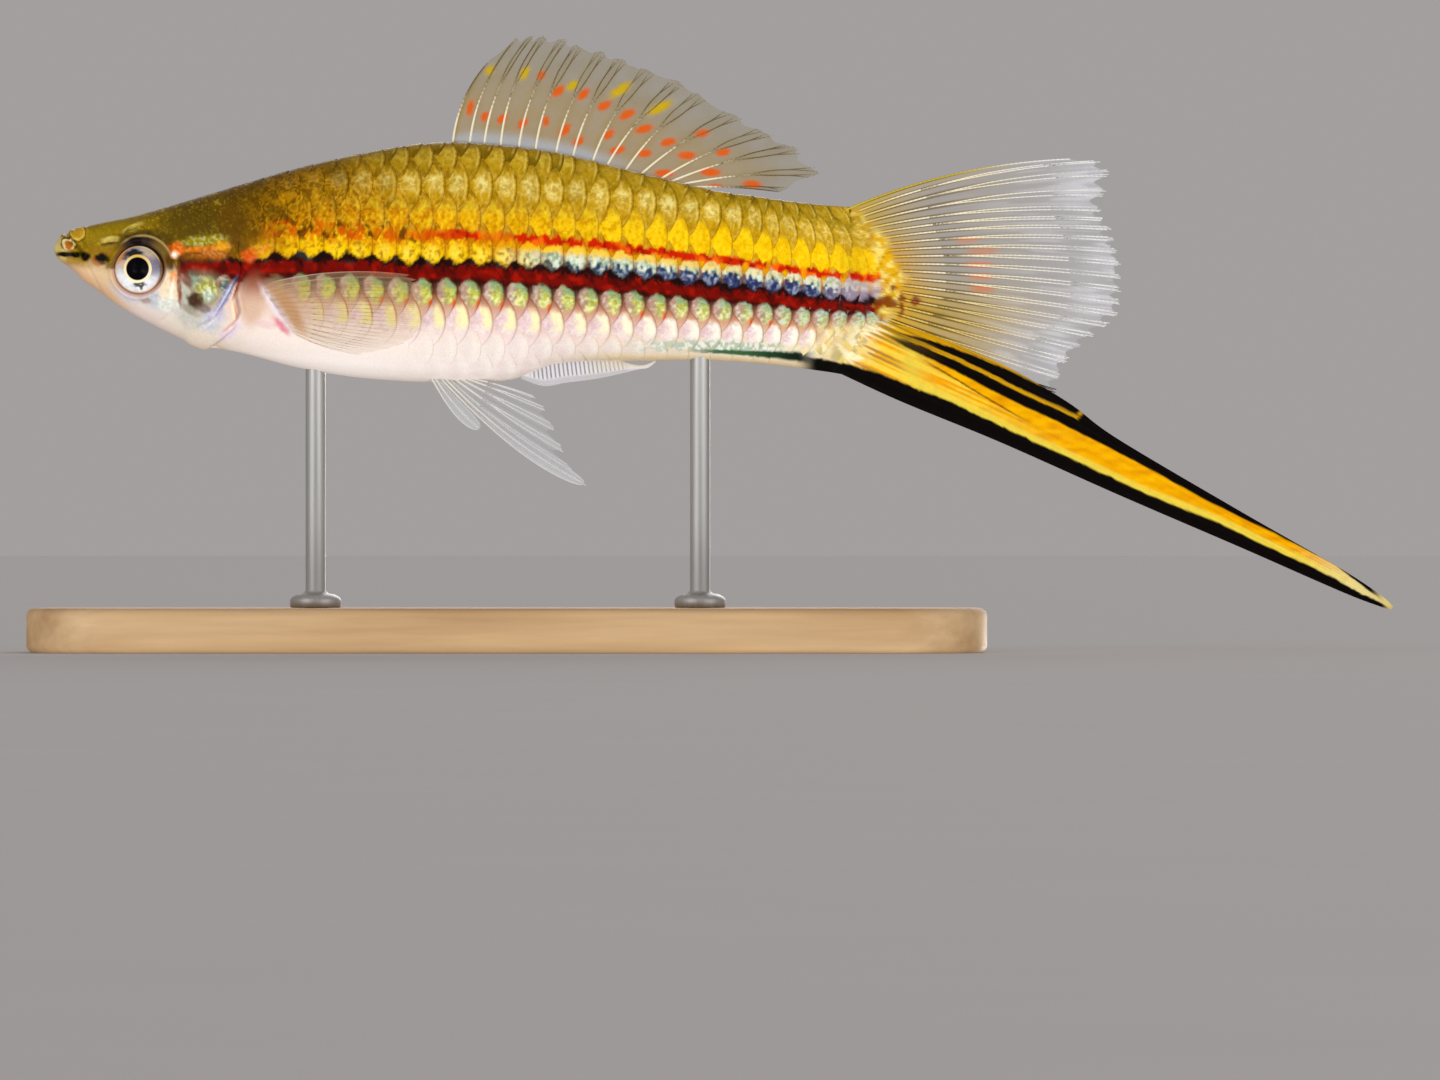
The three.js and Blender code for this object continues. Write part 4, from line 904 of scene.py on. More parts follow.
def build_scales(name, rows, side):
    """All scales of some rows on one side, as closed overlapping plates in one mesh."""
    points, faces, paint, corners = [], [], [], []
    count = 0
    even = np.linspace(-1.0, 1.0, SCALE_ACROSS)
    # Points lie closest in the part of a scale that its neighbours leave uncovered
    across = (even * (0.62 + 0.38 * even**2)).reshape(-1, 1)
    down = np.linspace(0, 1, SCALE_DOWN).reshape(1, -1) ** 0.68
    front = front_edge(across)
    back = front + (rear_edge(across) - front) * down
    edge = rear_edge(across) - back
    patch = np.stack(np.meshgrid(np.linspace(0.03, 0.97, SCALE_DOWN),
                                 np.linspace(0.03, 0.97, SCALE_ACROSS)), axis=-1)
    cells_along = -(-(LAST_COLUMN - FIRST_COLUMN) // COLUMNS_IN_CELL)
    size = np.array([1 / cells_along, 1 / (COLUMNS_IN_CELL * len(rows))])
    facing = slice(None, None, side)
    for number in rows:
        middle = row_middle(number)
        shift = -0.5 if number % 2 == 0 else 0.0
        for column in range(FIRST_COLUMN, LAST_COLUMN):
            x0 = float(np.interp(column + shift, COLUMN_NUMBER, COLUMN_X))
            low = flank.row_at(x0, math.radians(-90)) - ROW_OVERHANG
            high = flank.row_at(x0, math.radians(90)) + ROW_OVERHANG
            if not FIRST_SCALE_X[number] < x0 < LAST_SCALE_X[number] or not low < middle < high:
                continue
            tone, other_tone = NOISE[column % NOISE_CELLS, number % NOISE_CELLS, 14:]
            grow = 1.04 + 0.05 * (other_tone - 0.5)
            up = np.broadcast_to(across * grow, back.shape)
            x = np.interp(column + shift + back / SCALE_PITCH, COLUMN_NUMBER, COLUMN_X)
            x = np.minimum(x, BODY_LENGTH)
            row = middle + up
            point, normal = flank.at(x, row)
            firm = np.interp(x0, [12, 20, 36, 64, 73], [0.1, 0.4, 1, 1, 0.2]) * FIRMNESS[number]
            if number < -2:
                firm = firm * np.interp(x0, [26, 36], [0, 1])
            rise = -0.08 + (0.04 + (0.12 + 0.04 * (tone - 0.5)) * firm) * down**1.4
            rise = rise - 0.1 * np.abs(across) ** 4
            top = point + normal * rise[..., None]
            foot = top - normal * (0.09 - 0.05 * down)[..., None]
            plate, triangles, plate_map, rim = scale_plate(top, foot, patch)
            colour = body_colour(x, point[..., 2], row, np.full(x.shape, number), back, up, tone)
            # Painted shade along each scale's rear rim, deeper the more the scale stands up
            colour = shaded(colour, 1 - 0.3 * firm * smooth(0.2, 0.0, edge)).reshape(-1, 3)
            plate[:, 1] *= side
            points.append(plate)
            faces.append(triangles[:, facing] + count)
            paint.append(np.concatenate([colour, colour[rim], colour[:1]]))
            count += len(plate)
            along_map, step = divmod(column - FIRST_COLUMN, COLUMNS_IN_CELL)
            cell = np.array([along_map / cells_along,
                             (rows.index(number) + step / COLUMNS_IN_CELL) / len(rows)])
            corners.append(plate_map[:, facing] * size + cell)
    return mesh_object(name, *[np.concatenate(lots) for lots in (points, faces, paint, corners)])


# Fins

def bowed(root, tip, bow, r):
    """Place at share r of a ray from root to tip, bowed to one side."""
    arch = 4 * bow * r * (1 - r)
    x = root[0] + (tip[0] - root[0]) * r + (root[1] - tip[1]) * arch
    z = root[1] + (tip[1] - root[1]) * r + (tip[0] - root[0]) * arch
    return x, z


def outline_at(points, q):
    return along([(at, x) for at, x, _ in points], q), along([(at, z) for at, _, z in points], q)


def tail_arc(degrees, inward):
    a = np.radians(degrees)
    radius = TAIL_ARC_RADIUS - inward
    return TAIL_ARC_X + radius * np.cos(a), TAIL_ARC_Z + radius * np.sin(a)


# Rays of the dorsal fin, as the x of the root, and the x and z of the tip
DORSAL_RAYS = [(35.8, 39.2, 17.1), (37.3, 41.7, 19.2), (38.6, 43.0, 19.35), (40.1, 44.0, 19.35),
               (41.7, 46.0, 19.1), (43.2, 47.2, 18.5), (45.0, 49.4, 17.9), (46.5, 51.1, 17.3),
               (48.2, 53.5, 16.2), (49.4, 56.3, 15.2), (51.0, 58.1, 14.0), (52.2, 61.3, 12.2),
               (53.8, 64.1, 10.6), (54.5, 66.8, 9.2), (55.0, 69.0, 6.9), (55.3, 65.4, 5.2)]
# Orange and yellow spots of the dorsal fin, as x, z, half length and tilt in degrees
DORSAL_SPOTS = [(37.4, 12.8, 0.75, 80), (38.7, 12.0, 0.5, 60), (40.3, 11.8, 0.6, 40),
                (42.1, 11.4, 0.65, 50), (44.2, 11.6, 0.5, 60), (45.9, 10.8, 0.75, 50),
                (47.2, 9.8, 0.6, 35), (49.9, 10.4, 0.6, 40), (50.6, 9.0, 0.75, 15),
                (53.1, 8.7, 0.7, 5), (54.9, 6.9, 0.9, 0), (56.9, 8.5, 0.9, 0), (55.2, 9.7, 0.8, 12),
                (53.1, 10.9, 0.85, 18), (51.5, 12.2, 0.85, 28), (49.5, 13.0, 0.75, 32),
                (47.6, 14.0, 0.75, 40), (45.3, 14.3, 0.8, 35), (43.8, 15.7, 0.5, 60),
                (60.2, 8.8, 0.7, 12), (58.3, 10.5, 0.7, 12), (59.0, 7.0, 0.95, -5),
                (62.8, 5.9, 0.9, -4), (59.5, 5.6, 0.8, -5)]
YELLOW_SPOTS = [(42.3, 15.9, 0.7, 60), (39.2, 16.2, 0.5, 60), (46.6, 14.8, 0.6, 40),
                (50.9, 14.4, 1.2, 35), (54.5, 12.8, 1.3, 28)]
CAUDAL_TIPS = [(0, 91.6, 8.2), (0.08, 94.9, 7.6), (0.2, 94.3, 3.9), (0.33, 95.2, 1.7),
               (0.46, 95.9, -0.9), (0.6, 96.1, -4.0), (0.7, 95.6, -6.1), (0.8, 93.3, -7.9),
               (0.9, 91.2, -10.1), (1, 90.3, -12.9)]
PECTORAL_TIPS = [(0, 32.6, -2.3), (0.25, 34.4, -3.9), (0.5, 34.0, -6.2), (0.75, 31.9, -8.5),
                 (1, 27.6, -9.6)]
PELVIC_TIPS = [(0, 43.2, -13.2), (0.25, 44.4, -14.7), (0.5, 45.4, -17.0), (0.75, 46.4, -19.4),
               (1, 47.9, -21.3)]
SWORD_UPPER = [(72.6, -6.0), (78.0, -7.3), (83.7, -9.6), (87.2, -11.3), (91.5, -13.9), (95.7, -17.0),
               (106.8, -23.55), (115.8, -28.7), (119.4, -31.1), (120.5, -32.1)]
SWORD_LOWER = [(69.6, -10.6), (76.1, -13.6), (85.1, -17.3), (95.9, -22.1), (106.7, -26.75),
               (115.7, -30.7), (119.2, -32.05), (120.3, -32.35)]


def dorsal_place(q, r):
    share = np.linspace(0, 1, len(DORSAL_RAYS))
    root_x, tip_x, tip_z = [np.interp(q, share, column) for column in np.array(DORSAL_RAYS).T]
    return bowed((root_x, along(BACK, root_x) - 0.8), (tip_x, tip_z), 0.09 - 0.06 * q, r)


def caudal_place(q, r):
    root = tail_arc(43 - 57 * q, 1.6)
    return bowed(root, outline_at(CAUDAL_TIPS, q), 0.05 * (1 - q) - 0.015 * q, r)


def pectoral_place(q, r):
    root = (18.7 + 2.9 * q, -3.2 - 4.4 * q)
    return bowed(root, outline_at(PECTORAL_TIPS, q), 0.05 - 0.1 * q, r)


def pelvic_place(q, r):
    root = (37.2 - 2.6 * q, -11.2 - 0.3 * (1 - q))
    return bowed(root, outline_at(PELVIC_TIPS, q), 0.02 - 0.06 * q, r)


def leaf_place(root, tip, bow, widest):
    """Place in a leaf-shaped lobe with a rounded tip, drawn about the line from its root to its tip."""
    length = math.hypot(tip[0] - root[0], tip[1] - root[1])
    over = ((root[1] - tip[1]) / length, (tip[0] - root[0]) / length)

    def place_of(q, r):
        width = widest * (0.45 + 0.55 * smooth(0, 0.8, r)) * np.sqrt(np.maximum(1 - r**9, 0.0004))
        x, z = bowed(root, tip, bow, r)
        return x + (0.5 - q) * width * over[0], z + (0.5 - q) * width * over[1]
    return place_of


PELVIC_LOBE = leaf_place((34.0, -11.1), (38.3, -16.2), -0.04, 1.3)
PELVIC_BLADE = leaf_place((35.0, -11.4), (47.8, -21.2), -0.04, 1.35)


EDGE_POINTS = 400


def chord_places(line):
    """Evenly numbered points of a smooth line of the side view."""
    number = np.arange(len(line))
    dense = np.linspace(0, len(line) - 1, EDGE_POINTS)
    return [along(np.stack([number, axis], axis=1), dense) for axis in np.array(line, float).T]


SWORD_EDGES = [chord_places(SWORD_UPPER), chord_places(SWORD_LOWER)]
DORSAL_RAY_COUNT = len(DORSAL_RAYS)
CAUDAL_RAY_COUNT = 20
PECTORAL_RAY_COUNT = 14
PELVIC_RAY_COUNT = 6
SWORD_RIBS = 7
RAY_SIDES = 6
RAY_STEP = 0.0065
# A split past the tip, for a ray that stays whole
NEVER = 2
SWAY_START = 1.3


def sword_place(q, r):
    share = np.linspace(0, 1, EDGE_POINTS)
    upper, lower = [[np.interp(r, share, axis) for axis in edge] for edge in SWORD_EDGES]
    return upper[0] * (1 - q) + lower[0] * q, upper[1] * (1 - q) + lower[1] * q


def sway(wave, q, rays, r):
    """How far the web and its rays swing sideways, in mm: one way and the other from ray to ray."""
    return wave * np.sin(np.pi * q * (rays - 1) + SWAY_START) * r


def build_web(place_of, rays, paint_of, columns=10, rows=70, thick=0.1, wave=0.1, notch=0.04,
              frayed=0.02):
    """A fin's membrane: a thin plate that sags a little between its rays, with a frayed edge."""
    q = np.linspace(0, 1, (rays - 1) * columns + 1)
    r = np.linspace(0, 1, rows)
    between = np.sin(np.pi * q * (rays - 1)) ** 2
    fray = notch * between * (0.3 + 1.2 * noise(q * rays * 0.5, q * 0, 2))
    fray = fray + frayed * noise(q * rays * 5, q * 0, 1)
    reach = (1 - fray)[:, None] * r[None, :]
    qq = np.broadcast_to(q[:, None], reach.shape)
    x, z = place_of(qq, reach)
    swing = sway(wave, qq, rays, reach)
    half = thick / 2 * (1 - 0.5 * reach)
    return slab(x, z, swing - half, swing + half, paint_of(qq, reach, x, z))


def tube(path, flat, deep):
    """Points and triangles of a closed tube: path in the side view, half sizes in and out of it."""
    ahead = np.gradient(path[:, [0, 2]], axis=0)
    ahead /= np.maximum(np.linalg.norm(ahead, axis=1, keepdims=True), 1e-9)
    over = np.stack([-ahead[:, 1], np.zeros(len(path)), ahead[:, 0]], axis=1)
    angle = np.arange(RAY_SIDES) * 2 * np.pi / RAY_SIDES
    ring = (path[:, None, :] + over[:, None, :] * (flat[:, None] * np.cos(angle))[..., None]
            + np.array([0, 1, 0]) * (deep[:, None] * np.sin(angle))[..., None])
    return closed_form(ring, path[[0, -1]])


def build_rays(place_of, rays, paint_of, root_size=0.2, tip_size=0.05, splits=(0.38, 0.68),
               spread=(0.3, 0.14), wave=0.1, start=0.0, first=0, simple=2):
    """The rays of a fin, each parted twice towards its tip, as closed tubes."""
    parts = []
    pitch = 1 / (rays - 1)
    for ray in range(first, rays):
        q0 = ray * pitch
        cuts = (NEVER, NEVER) if ray < simple else splits
        # Where the stem and each lot of branches start and end, and how thick they are
        levels = [(start, min(cuts[0], 1.0), [0], 1)]
        if cuts[0] < 1:
            levels.append((cuts[0] - 0.02, min(cuts[1], 1.0), [-1, 1], 0.8))
        if cuts[1] < 1:
            levels.append((cuts[1] - 0.02, 1.0, [-1.5, -0.5, 0.5, 1.5], 0.66))
        for low, high, branch, thickness in [(*level[:2], branch, level[3])
                                             for level in levels for branch in level[2]]:
            reach = high - (0.03 * NOISE[ray, int(branch * 2) % NOISE_CELLS, 10] if high == 1 else 0)
            r = np.arange(low, reach + 0.004, RAY_STEP)
            q = np.clip(q0 + branch_shift(branch, r, cuts, spread) * pitch, 0, 1)
            x, z = place_of(q, r)
            size = (root_size + (tip_size - root_size) * r**0.75) * thickness
            path = np.stack([x, sway(wave, q0, rays, r), z], axis=1)
            points, triangles = tube(path, size, size * 0.9)
            length = np.concatenate([[0], np.cumsum(np.hypot(np.diff(x), np.diff(z)))])
            length += low * np.hypot(x[-1] - x[0], z[-1] - z[0]) / max(reach - low, 1e-3)
            colour = paint_of(np.full(len(r), q0), r, x, z, length)
            rings = np.repeat(colour, RAY_SIDES, axis=0)
            parts.append((points, triangles, np.concatenate([rings, colour[[0, -1]]])))
    return join(parts)


def branch_shift(branch, r, cuts, spread):
    """How far a branch stands off its ray's middle line, in shares of the rays' pitch."""
    outer = smooth(cuts[0], cuts[0] + 0.3, r) * spread[0]
    inner = smooth(cuts[1], cuts[1] + 0.25, r) * spread[1]
    inner_way = {1.5: 1, 1: 0, 0.5: -1, 0: 0}[abs(branch)]
    return np.sign(branch) * outer + inner * inner_way * np.sign(branch)


def join(parts):
    """Several lots of points, faces and paint as one."""
    points, faces, paint = zip(*parts)
    offset = np.cumsum([0] + [len(lot) for lot in points[:-1]])
    faces = [lot + start for lot, start in zip(faces, offset)]
    return np.concatenate(points), np.concatenate(faces), np.concatenate(paint)


RAY_DARK = rgb(92, 78, 58)


def with_alpha(colour, alpha):
    return np.concatenate([colour, np.broadcast_to(alpha, colour.shape[:-1])[..., None]], axis=-1)


def jointed(colour, r, length, start=0.25, pitch=0.42):
    """Thin dark joints across a ray beyond its stiff root."""
    joint = smooth(0.32, 0.12, np.abs((length / pitch) % 1 - 0.5)) * smooth(start, start + 0.1, r)
    return mix(colour, RAY_DARK, joint * 0.45)


def near_ray(q, rays, width):
    """1 beside a ray and 0 between two rays."""
    return smooth(width, width * 0.3, np.abs((q * (rays - 1) + 0.5) % 1 - 0.5))


def dorsal_web_paint(q, r, x, z):
    mottle = noise(x * 0.9, z * 0.9, 5)
    colour = mix(rgb(166, 138, 62), rgb(146, 134, 98), smooth(0.35, 0.9, r))
    colour = mix(colour, rgb(178, 182, 186), smooth(0.2, 0.1, r) * smooth(0.75, 0.5, q))
    alpha = 0.34 - 0.1 * smooth(0.6, 1, r) + 0.14 * (mottle - 0.5)
    alpha = alpha + 0.1 * near_ray(q, DORSAL_RAY_COUNT, 0.3)
    edge = smooth(0.02, 0.0, q)
    colour = mix(colour, rgb(150, 130, 50), edge * 0.7)
    alpha = alpha + 0.3 * edge
    for spots, tint in ((DORSAL_SPOTS, rgb(224, 96, 8)), (YELLOW_SPOTS, rgb(204, 172, 8))):
        for spot_x, spot_z, length, tilt in spots:
            ragged = 0.3 * (noise(x * 4, z * 4, 6) - 0.5)
            dot = spot(x + ragged, z, (spot_x, spot_z), (length, 0.28 + 0.12 * length), tilt, 1.0)
            colour = mix(colour, tint, dot)
            alpha = np.maximum(alpha, dot * 0.84)
    return with_alpha(colour, np.clip(alpha, 0, 1))


def dorsal_ray_paint(q, r, x, z, length):
    colour = mix(rgb(232, 224, 200), rgb(112, 98, 64), smooth(0.3, 0.7, r))
    colour = mix(colour, rgb(222, 218, 206), smooth(0.88, 1.0, r) * 0.5)
    return jointed(colour, r, length, 0.3)


CAUDAL_MARKS = [((82.2, 0.9), (1.1, 0.3), 4), ((83.5, -0.1), (1.5, 0.32), 2),
                ((83.2, -1.3), (1.3, 0.34), 0), ((83.4, -2.4), (1.2, 0.34), 0),
                ((83.5, -3.5), (1.1, 0.34), -4)]


def tail_root(colour, x, z, reach):
    """The body's own markings, carried on over the roots of the tail's rays and faded out there."""
    row = z - along(BAND, x)
    row = row / np.where(row > 0, along(ROW_ABOVE, x), along(ROW_BELOW, x))
    number, back, up = cell_of(np.minimum(x, 77.0), row)
    flesh = body_colour(np.minimum(x, 75.0), z, row, number, back, up, 0.5)
    behind = np.hypot(x - TAIL_ARC_X, z - TAIL_ARC_Z) - TAIL_ARC_RADIUS
    grain = noise(x * 2.2, z * 2.2, 3)
    gold = mix(rgb(226, 172, 16), rgb(250, 230, 124), smooth(0.35, 0.62, grain))
    gilt = smooth(-0.6, 0.9, behind + 0.8 * (grain - 0.5)) * smooth(-0.9, -0.3, row)
    flesh = mix(flesh, gold, gilt * 0.9)
    ring = smooth(0.15, 0.04, np.abs(np.hypot(back, up * 2.2) - 0.95))
    flesh = mix(flesh, rgb(150, 92, 4), ring * 0.4 * (row > 0.4))
    ragged = 1.4 * (noise(x * 1.2, z * 1.2, 5) - 0.5) + 0.8 * (grain - 0.5)
    limit = reach * np.interp(z, [-9, -6, -3.5, -1.5, 0.5, 2.5, 4], [0.7, 0.8, 1, 1, 0.75, 0.4, 0.1])
    share = smooth(limit + 0.2, limit - 1.2, behind + ragged)
    return mix(colour, flesh, share), share


BAND_END_SPOTS = [((74.9, -4.7), (0.9, 0.45)), ((76.2, -4.9), (0.26, 1.2)), ((77.5, -4.6), (0.5, 0.35)),
                  ((75.5, -3.4), (0.3, 0.25))]


def band_end(colour, x, z):
    """Dark red marks where the band runs out over the roots of the tail's rays."""
    ragged = 0.5 * (noise(x * 3, z * 3, 2) - 0.5)
    spots = [(*shape, 0, 0.8, (118, 24, 2), 0.85) for shape in BAND_END_SPOTS]
    return with_spots(colour, x + ragged, z - ragged, spots)


def caudal_web_paint(q, r, x, z):
    low = smooth(0.55, 0.8, q)
    root = smooth(0.4, 0.03, r)
    colour = mix(rgb(172, 156, 120), rgb(198, 198, 204), smooth(0.4, 0.95, r))
    fine = smooth(0.5, 0.75, noise(q * 130, r * 7, 3))
    colour = mix(colour, rgb(232, 232, 236), fine * 0.6 * smooth(0.3, 0.7, r))
    colour = mix(colour, rgb(202, 168, 48), np.clip(root + low * smooth(0.9, 0.3, r) * 0.9, 0, 1))
    colour = mix(colour, rgb(232, 170, 8), root * smooth(0.25, 0.5, q) * 0.85)
    colour = mix(colour, rgb(206, 174, 30), smooth(0.1, 0.0, q) * smooth(0.9, 0.3, r))
    # Dark lines close beside each ray
    beside = np.abs((q * (CAUDAL_RAY_COUNT - 1) + 0.5) % 1 - 0.5)
    shade = smooth(0.3, 0.2, beside) * smooth(0.04, 0.12, r) * smooth(0.75, 0.35, r)
    colour = mix(colour, rgb(92, 72, 30), shade * 0.85)
    streak = smooth(0.5, 0.66, noise(q * 52, r * 2.2, 3))
    dark = smooth(0.78, 0.9, q) * smooth(0.6, 0.2, r) * streak
    colour = mix(colour, rgb(34, 22, 6), dark * 0.95)
    warm = np.max([spot(x, z, *mark, 1.0) for mark in CAUDAL_MARKS], axis=0)
    colour = mix(colour, rgb(224, 124, 50), warm * 0.8)
    folds = smooth(0.5, 0.75, noise(q * 9, r * 4, 10)) * smooth(0.72, 0.95, r)
    alpha = 0.1 + 0.5 * root + 0.36 * low * smooth(1, 0.4, r) + 0.2 * warm + 0.03 * smooth(0.6, 1, r)
    alpha = alpha + 0.34 * shade + 0.08 * fine * smooth(0.4, 0.8, r) + 0.3 * smooth(0.02, 0.0, q)
    alpha = alpha + 0.26 * folds + 0.2 * smooth(0.985, 1.0, r)
    colour, flesh = tail_root(colour, x, z, 2.6)
    colour = band_end(colour, x, z)
    return with_alpha(colour, np.clip(np.maximum(alpha + dark * 0.65, flesh), 0, 1))


def caudal_ray_paint(q, r, x, z, length):
    colour = mix(rgb(222, 196, 110), rgb(244, 236, 206), smooth(0.12, 0.3, r))
    colour = mix(colour, rgb(236, 236, 234), smooth(0.5, 0.8, r))
    colour = mix(colour, rgb(232, 172, 16), smooth(0.3, 0.08, r) * smooth(0.2, 0.45, q))
    colour = mix(colour, rgb(222, 186, 70), smooth(0.62, 0.85, q) * smooth(0.95, 0.4, r) * 0.8)
    colour = mix(colour, rgb(200, 176, 60), smooth(0.05, 0.0, q) * smooth(0.9, 0.5, r))
    colour = mix(colour, rgb(26, 18, 8), smooth(0.97, 0.99, q) * (0.4 + 0.6 * smooth(0.35, 0.6, r)))
    colour = mix(colour, jointed(colour, r, length, 0.1), np.full(r.shape, 0.5))
    return band_end(tail_root(colour, x, z, 2.0)[0], x, z)


def clear_web_paint(tint, alpha, rays, beside):
    """A glassy web that is a little milky beside its rays."""
    def paint_of(q, r, x, z):
        milk = beside * near_ray(q, rays, 0.42) + 0.1 * smooth(0.3, 0, r)
        return with_alpha(np.ones(q.shape + (1,)) * tint, alpha + milk)
    return paint_of


def plain_ray_paint(root, tip, joint):
    def paint_of(q, r, x, z, length):
        colour = mix(root, tip, smooth(0, 0.7, r))
        return mix(colour, jointed(colour, r, length, 0.2, 0.36), np.full(r.shape, joint))
    return paint_of


def fading_ray_paint(q, r, x, z, length):
    """Fine brown rays that fade towards their tips; the first few are white."""
    colour = mix(rgb(206, 160, 108), rgb(158, 128, 98), smooth(0.1, 0.5, r))
    colour = mix(colour, rgb(240, 232, 220), smooth(0.2, 0.0, q) * smooth(0.02, 0.2, r))
    return with_alpha(colour, np.interp(r, [0, 0.08, 0.3, 0.7, 1], [0, 0.2, 0.22, 0.16, 0.05]))


YELLOW_TOP = [(72.9, -6.9), (77, -8.95), (80.8, -10.8), (84.2, -12.6), (87.2, -14.1),
              (90.5, -15.6), (97.4, -19.1), (103.7, -22.6), (109.9, -25.6), (115.3, -28.4),
              (119.5, -31.6)]
INNER_LINE = [(77, -9.2), (79.9, -10.9), (83.2, -12.9), (86.6, -14.9), (89, -16.2)]


def sword_paint(x, z):
    ragged = 0.14 * (noise(x * 1.2, z * 2.2, 5) - 0.5) + 0.1 * (noise(x * 4, z * 6, 6) - 0.5)
    yellow = mix(rgb(222, 146, 0), rgb(246, 184, 0), noise(x * 0.8, z * 3, 7))
    along_rays = noise(z * 4.2 + x * 1.95, x * 0.12, 8)
    # Pale and orange streaks where the blade leaves the body
    streaks = mix(rgb(242, 212, 70), rgb(236, 156, 0), smooth(0.35, 0.55, along_rays))
    streaks = mix(streaks, rgb(156, 132, 66), smooth(0.6, 0.74, along_rays))
    inner = on_line(INNER_LINE, x)
    rear_reach = np.where(z > inner, 82.0, 92.0)
    colour = mix(yellow, streaks, smooth(rear_reach, 76, x + 4 * (along_rays - 0.5)) * 0.9)
    pale = smooth(-0.35, 0.05, z - along(LOW_BAND_TOP, x) - 0.75) * smooth(76, 80, x)
    colour = mix(rgb(232, 206, 70), colour, np.maximum(pale, smooth(78, 75, x)))
    colour = mix(colour, rgb(226, 210, 140), smooth(111, 118, x))
    thin = smooth(0.14, 0.05, np.abs(z - inner + ragged * 0.3)) * smooth(77, 80, x) * smooth(89, 85, x)
    colour = mix(colour, rgb(110, 66, 6), thin * 0.85)
    # Black below; above the yellow, black stripes with olive gold between them near the root
    below = smooth(0.12, -0.1, z + ragged - on_line(LOW_BAND_TOP, x))
    colour = mix(colour, BLACK * 0.7, below * smooth(120.4, 119.4, x))
    over = z + 0.5 * ragged - on_line(YELLOW_TOP, x)
    first = np.interp(x, [73, 78, 83, 92, 94], [0.3, 0.75, 1.05, 1.1, 4.0])
    second = np.interp(x, [76, 79, 86, 90], [0.0, 0.45, 1.05, 1.0])
    olive = mix(rgb(206, 152, 10), rgb(150, 116, 30), smooth(0.4, 0.7, along_rays))
    upper = smooth(first, first + 0.1, over) * smooth(first + 0.5, first + 0.38, over)
    upper = upper + smooth(first + 0.44 + second, first + 0.54 + second, over)
    black = smooth(-0.08, 0.12, over)
    dark = mix(BLACK * 0.7, rgb(74, 56, 22), smooth(80, 75, x + 3 * (along_rays - 0.5)) * 0.7)
    fade = smooth(73.2, 76.5, x + 2 * (along_rays - 0.5)) * smooth(119.8, 118.4, x)
    colour = mix(colour, mix(dark, olive, np.clip(upper, 0, 1)), black * fade)
    colour = tail_root(colour, x + 2.4 * (along_rays - 0.5), z, 1.6)[0]
    return with_alpha(colour, np.ones(x.shape))


def build_sword():
    """The long lower rays of the tail, laid close in one ribbed blade."""
    q = np.linspace(0, 1, 71)
    r = np.linspace(0, 1, 260)
    qq, rr = np.meshgrid(q, r, indexing="ij")
    x, z = sword_place(qq, rr)
    rib = np.abs(np.sin(np.pi * SWORD_RIBS * qq)) ** 0.7
    half = (0.13 + 0.13 * rib) * (1 - 0.45 * rr) * np.interp(rr, [0, 0.06, 0.1], [0.6, 0.8, 1])
    return slab(x, z, -half, half, sword_paint(x, z))


GONOPODIUM_UPPER = [(42.0, -10.3), (46.4, -9.9), (50.6, -9.9), (52.2, -10.3), (53.1, -10.35),
                    (54.1, -9.95)]
GONOPODIUM_LOWER = [(42.0, -11.6), (43.9, -12.25), (45.9, -11.95), (48.6, -11.6), (51.2, -11.05),
                    (52.4, -10.75), (53.4, -10.6), (54.1, -10.1)]


GONOPODIUM_ENDS = (42.0, 54.1)
SEGMENT_LENGTH = 0.38


def build_gonopodium():
    """The male's rod-like anal fin: close segments across it, and a hook at its tip."""
    x = np.linspace(*GONOPODIUM_ENDS, 240)
    r = np.linspace(0, 1, 16)
    xx, rr = np.meshgrid(x, r, indexing="ij")
    z = along(GONOPODIUM_LOWER, xx) * (1 - rr) + along(GONOPODIUM_UPPER, xx) * rr
    lean = xx + 0.25 * (0.5 - rr) * smooth(42, 44, xx) * smooth(54, 52, xx)
    joint = 0.5 + 0.5 * np.cos(2 * np.pi * (xx - 42.6) / SEGMENT_LENGTH)
    body = smooth(42.4, 43.4, xx) * smooth(51.8, 51.0, xx)
    body = body * smooth(0.24, 0.34, rr) * smooth(0.98, 0.86, rr)
    half = (0.1 + 0.16 * np.sin(np.pi * rr) ** 0.6 + 0.05 * joint * body) * smooth(55.5, 51, xx)
    colour = mix(rgb(228, 226, 230), rgb(136, 134, 146), smooth(0.45, 0.15, joint) * body * 0.9)
    colour = mix(colour, rgb(226, 216, 186), smooth(47, 50.5, xx) * smooth(0.2, 0.5, rr) * 0.5)
    clear = smooth(0.34, 0.2, rr) * smooth(53, 51, xx)
    return slab(lean, z, half, -half, with_alpha(colour, 0.86 - 0.54 * clear))


def turned(fin, side, pivot, turn, splay):
    """A paired fin turned out from the body about its root, then mirrored to its side."""
    points, faces, paint = fin
    x, y, z = (points - np.array([pivot[0], 0, pivot[2]])).T
    c, s = math.cos(math.radians(splay)), math.sin(math.radians(splay))
    y, z = y * c - z * s, y * s + z * c
    c, s = math.cos(math.radians(turn)), math.sin(math.radians(turn))
    x, y = x * c - y * s, x * s + y * c
    points = np.stack([x + pivot[0], (y + pivot[1]) * side, z + pivot[2]], axis=1)
    return points, faces[:, ::side], paint


def flank_width(x, z):
    """Half width of the bare body at a place of the side view."""
    middle = along(WIDEST, x)
    above = z > middle
    height = (z - middle) / ((along(BACK, x) - middle) if above else (along(BELLY, x) - middle))
    n = along(UPPER_SQUARENESS if above else LOWER_SQUARENESS, x)
    return along(HALF_WIDTH, x) * (1 - height**n) ** (1 / n)
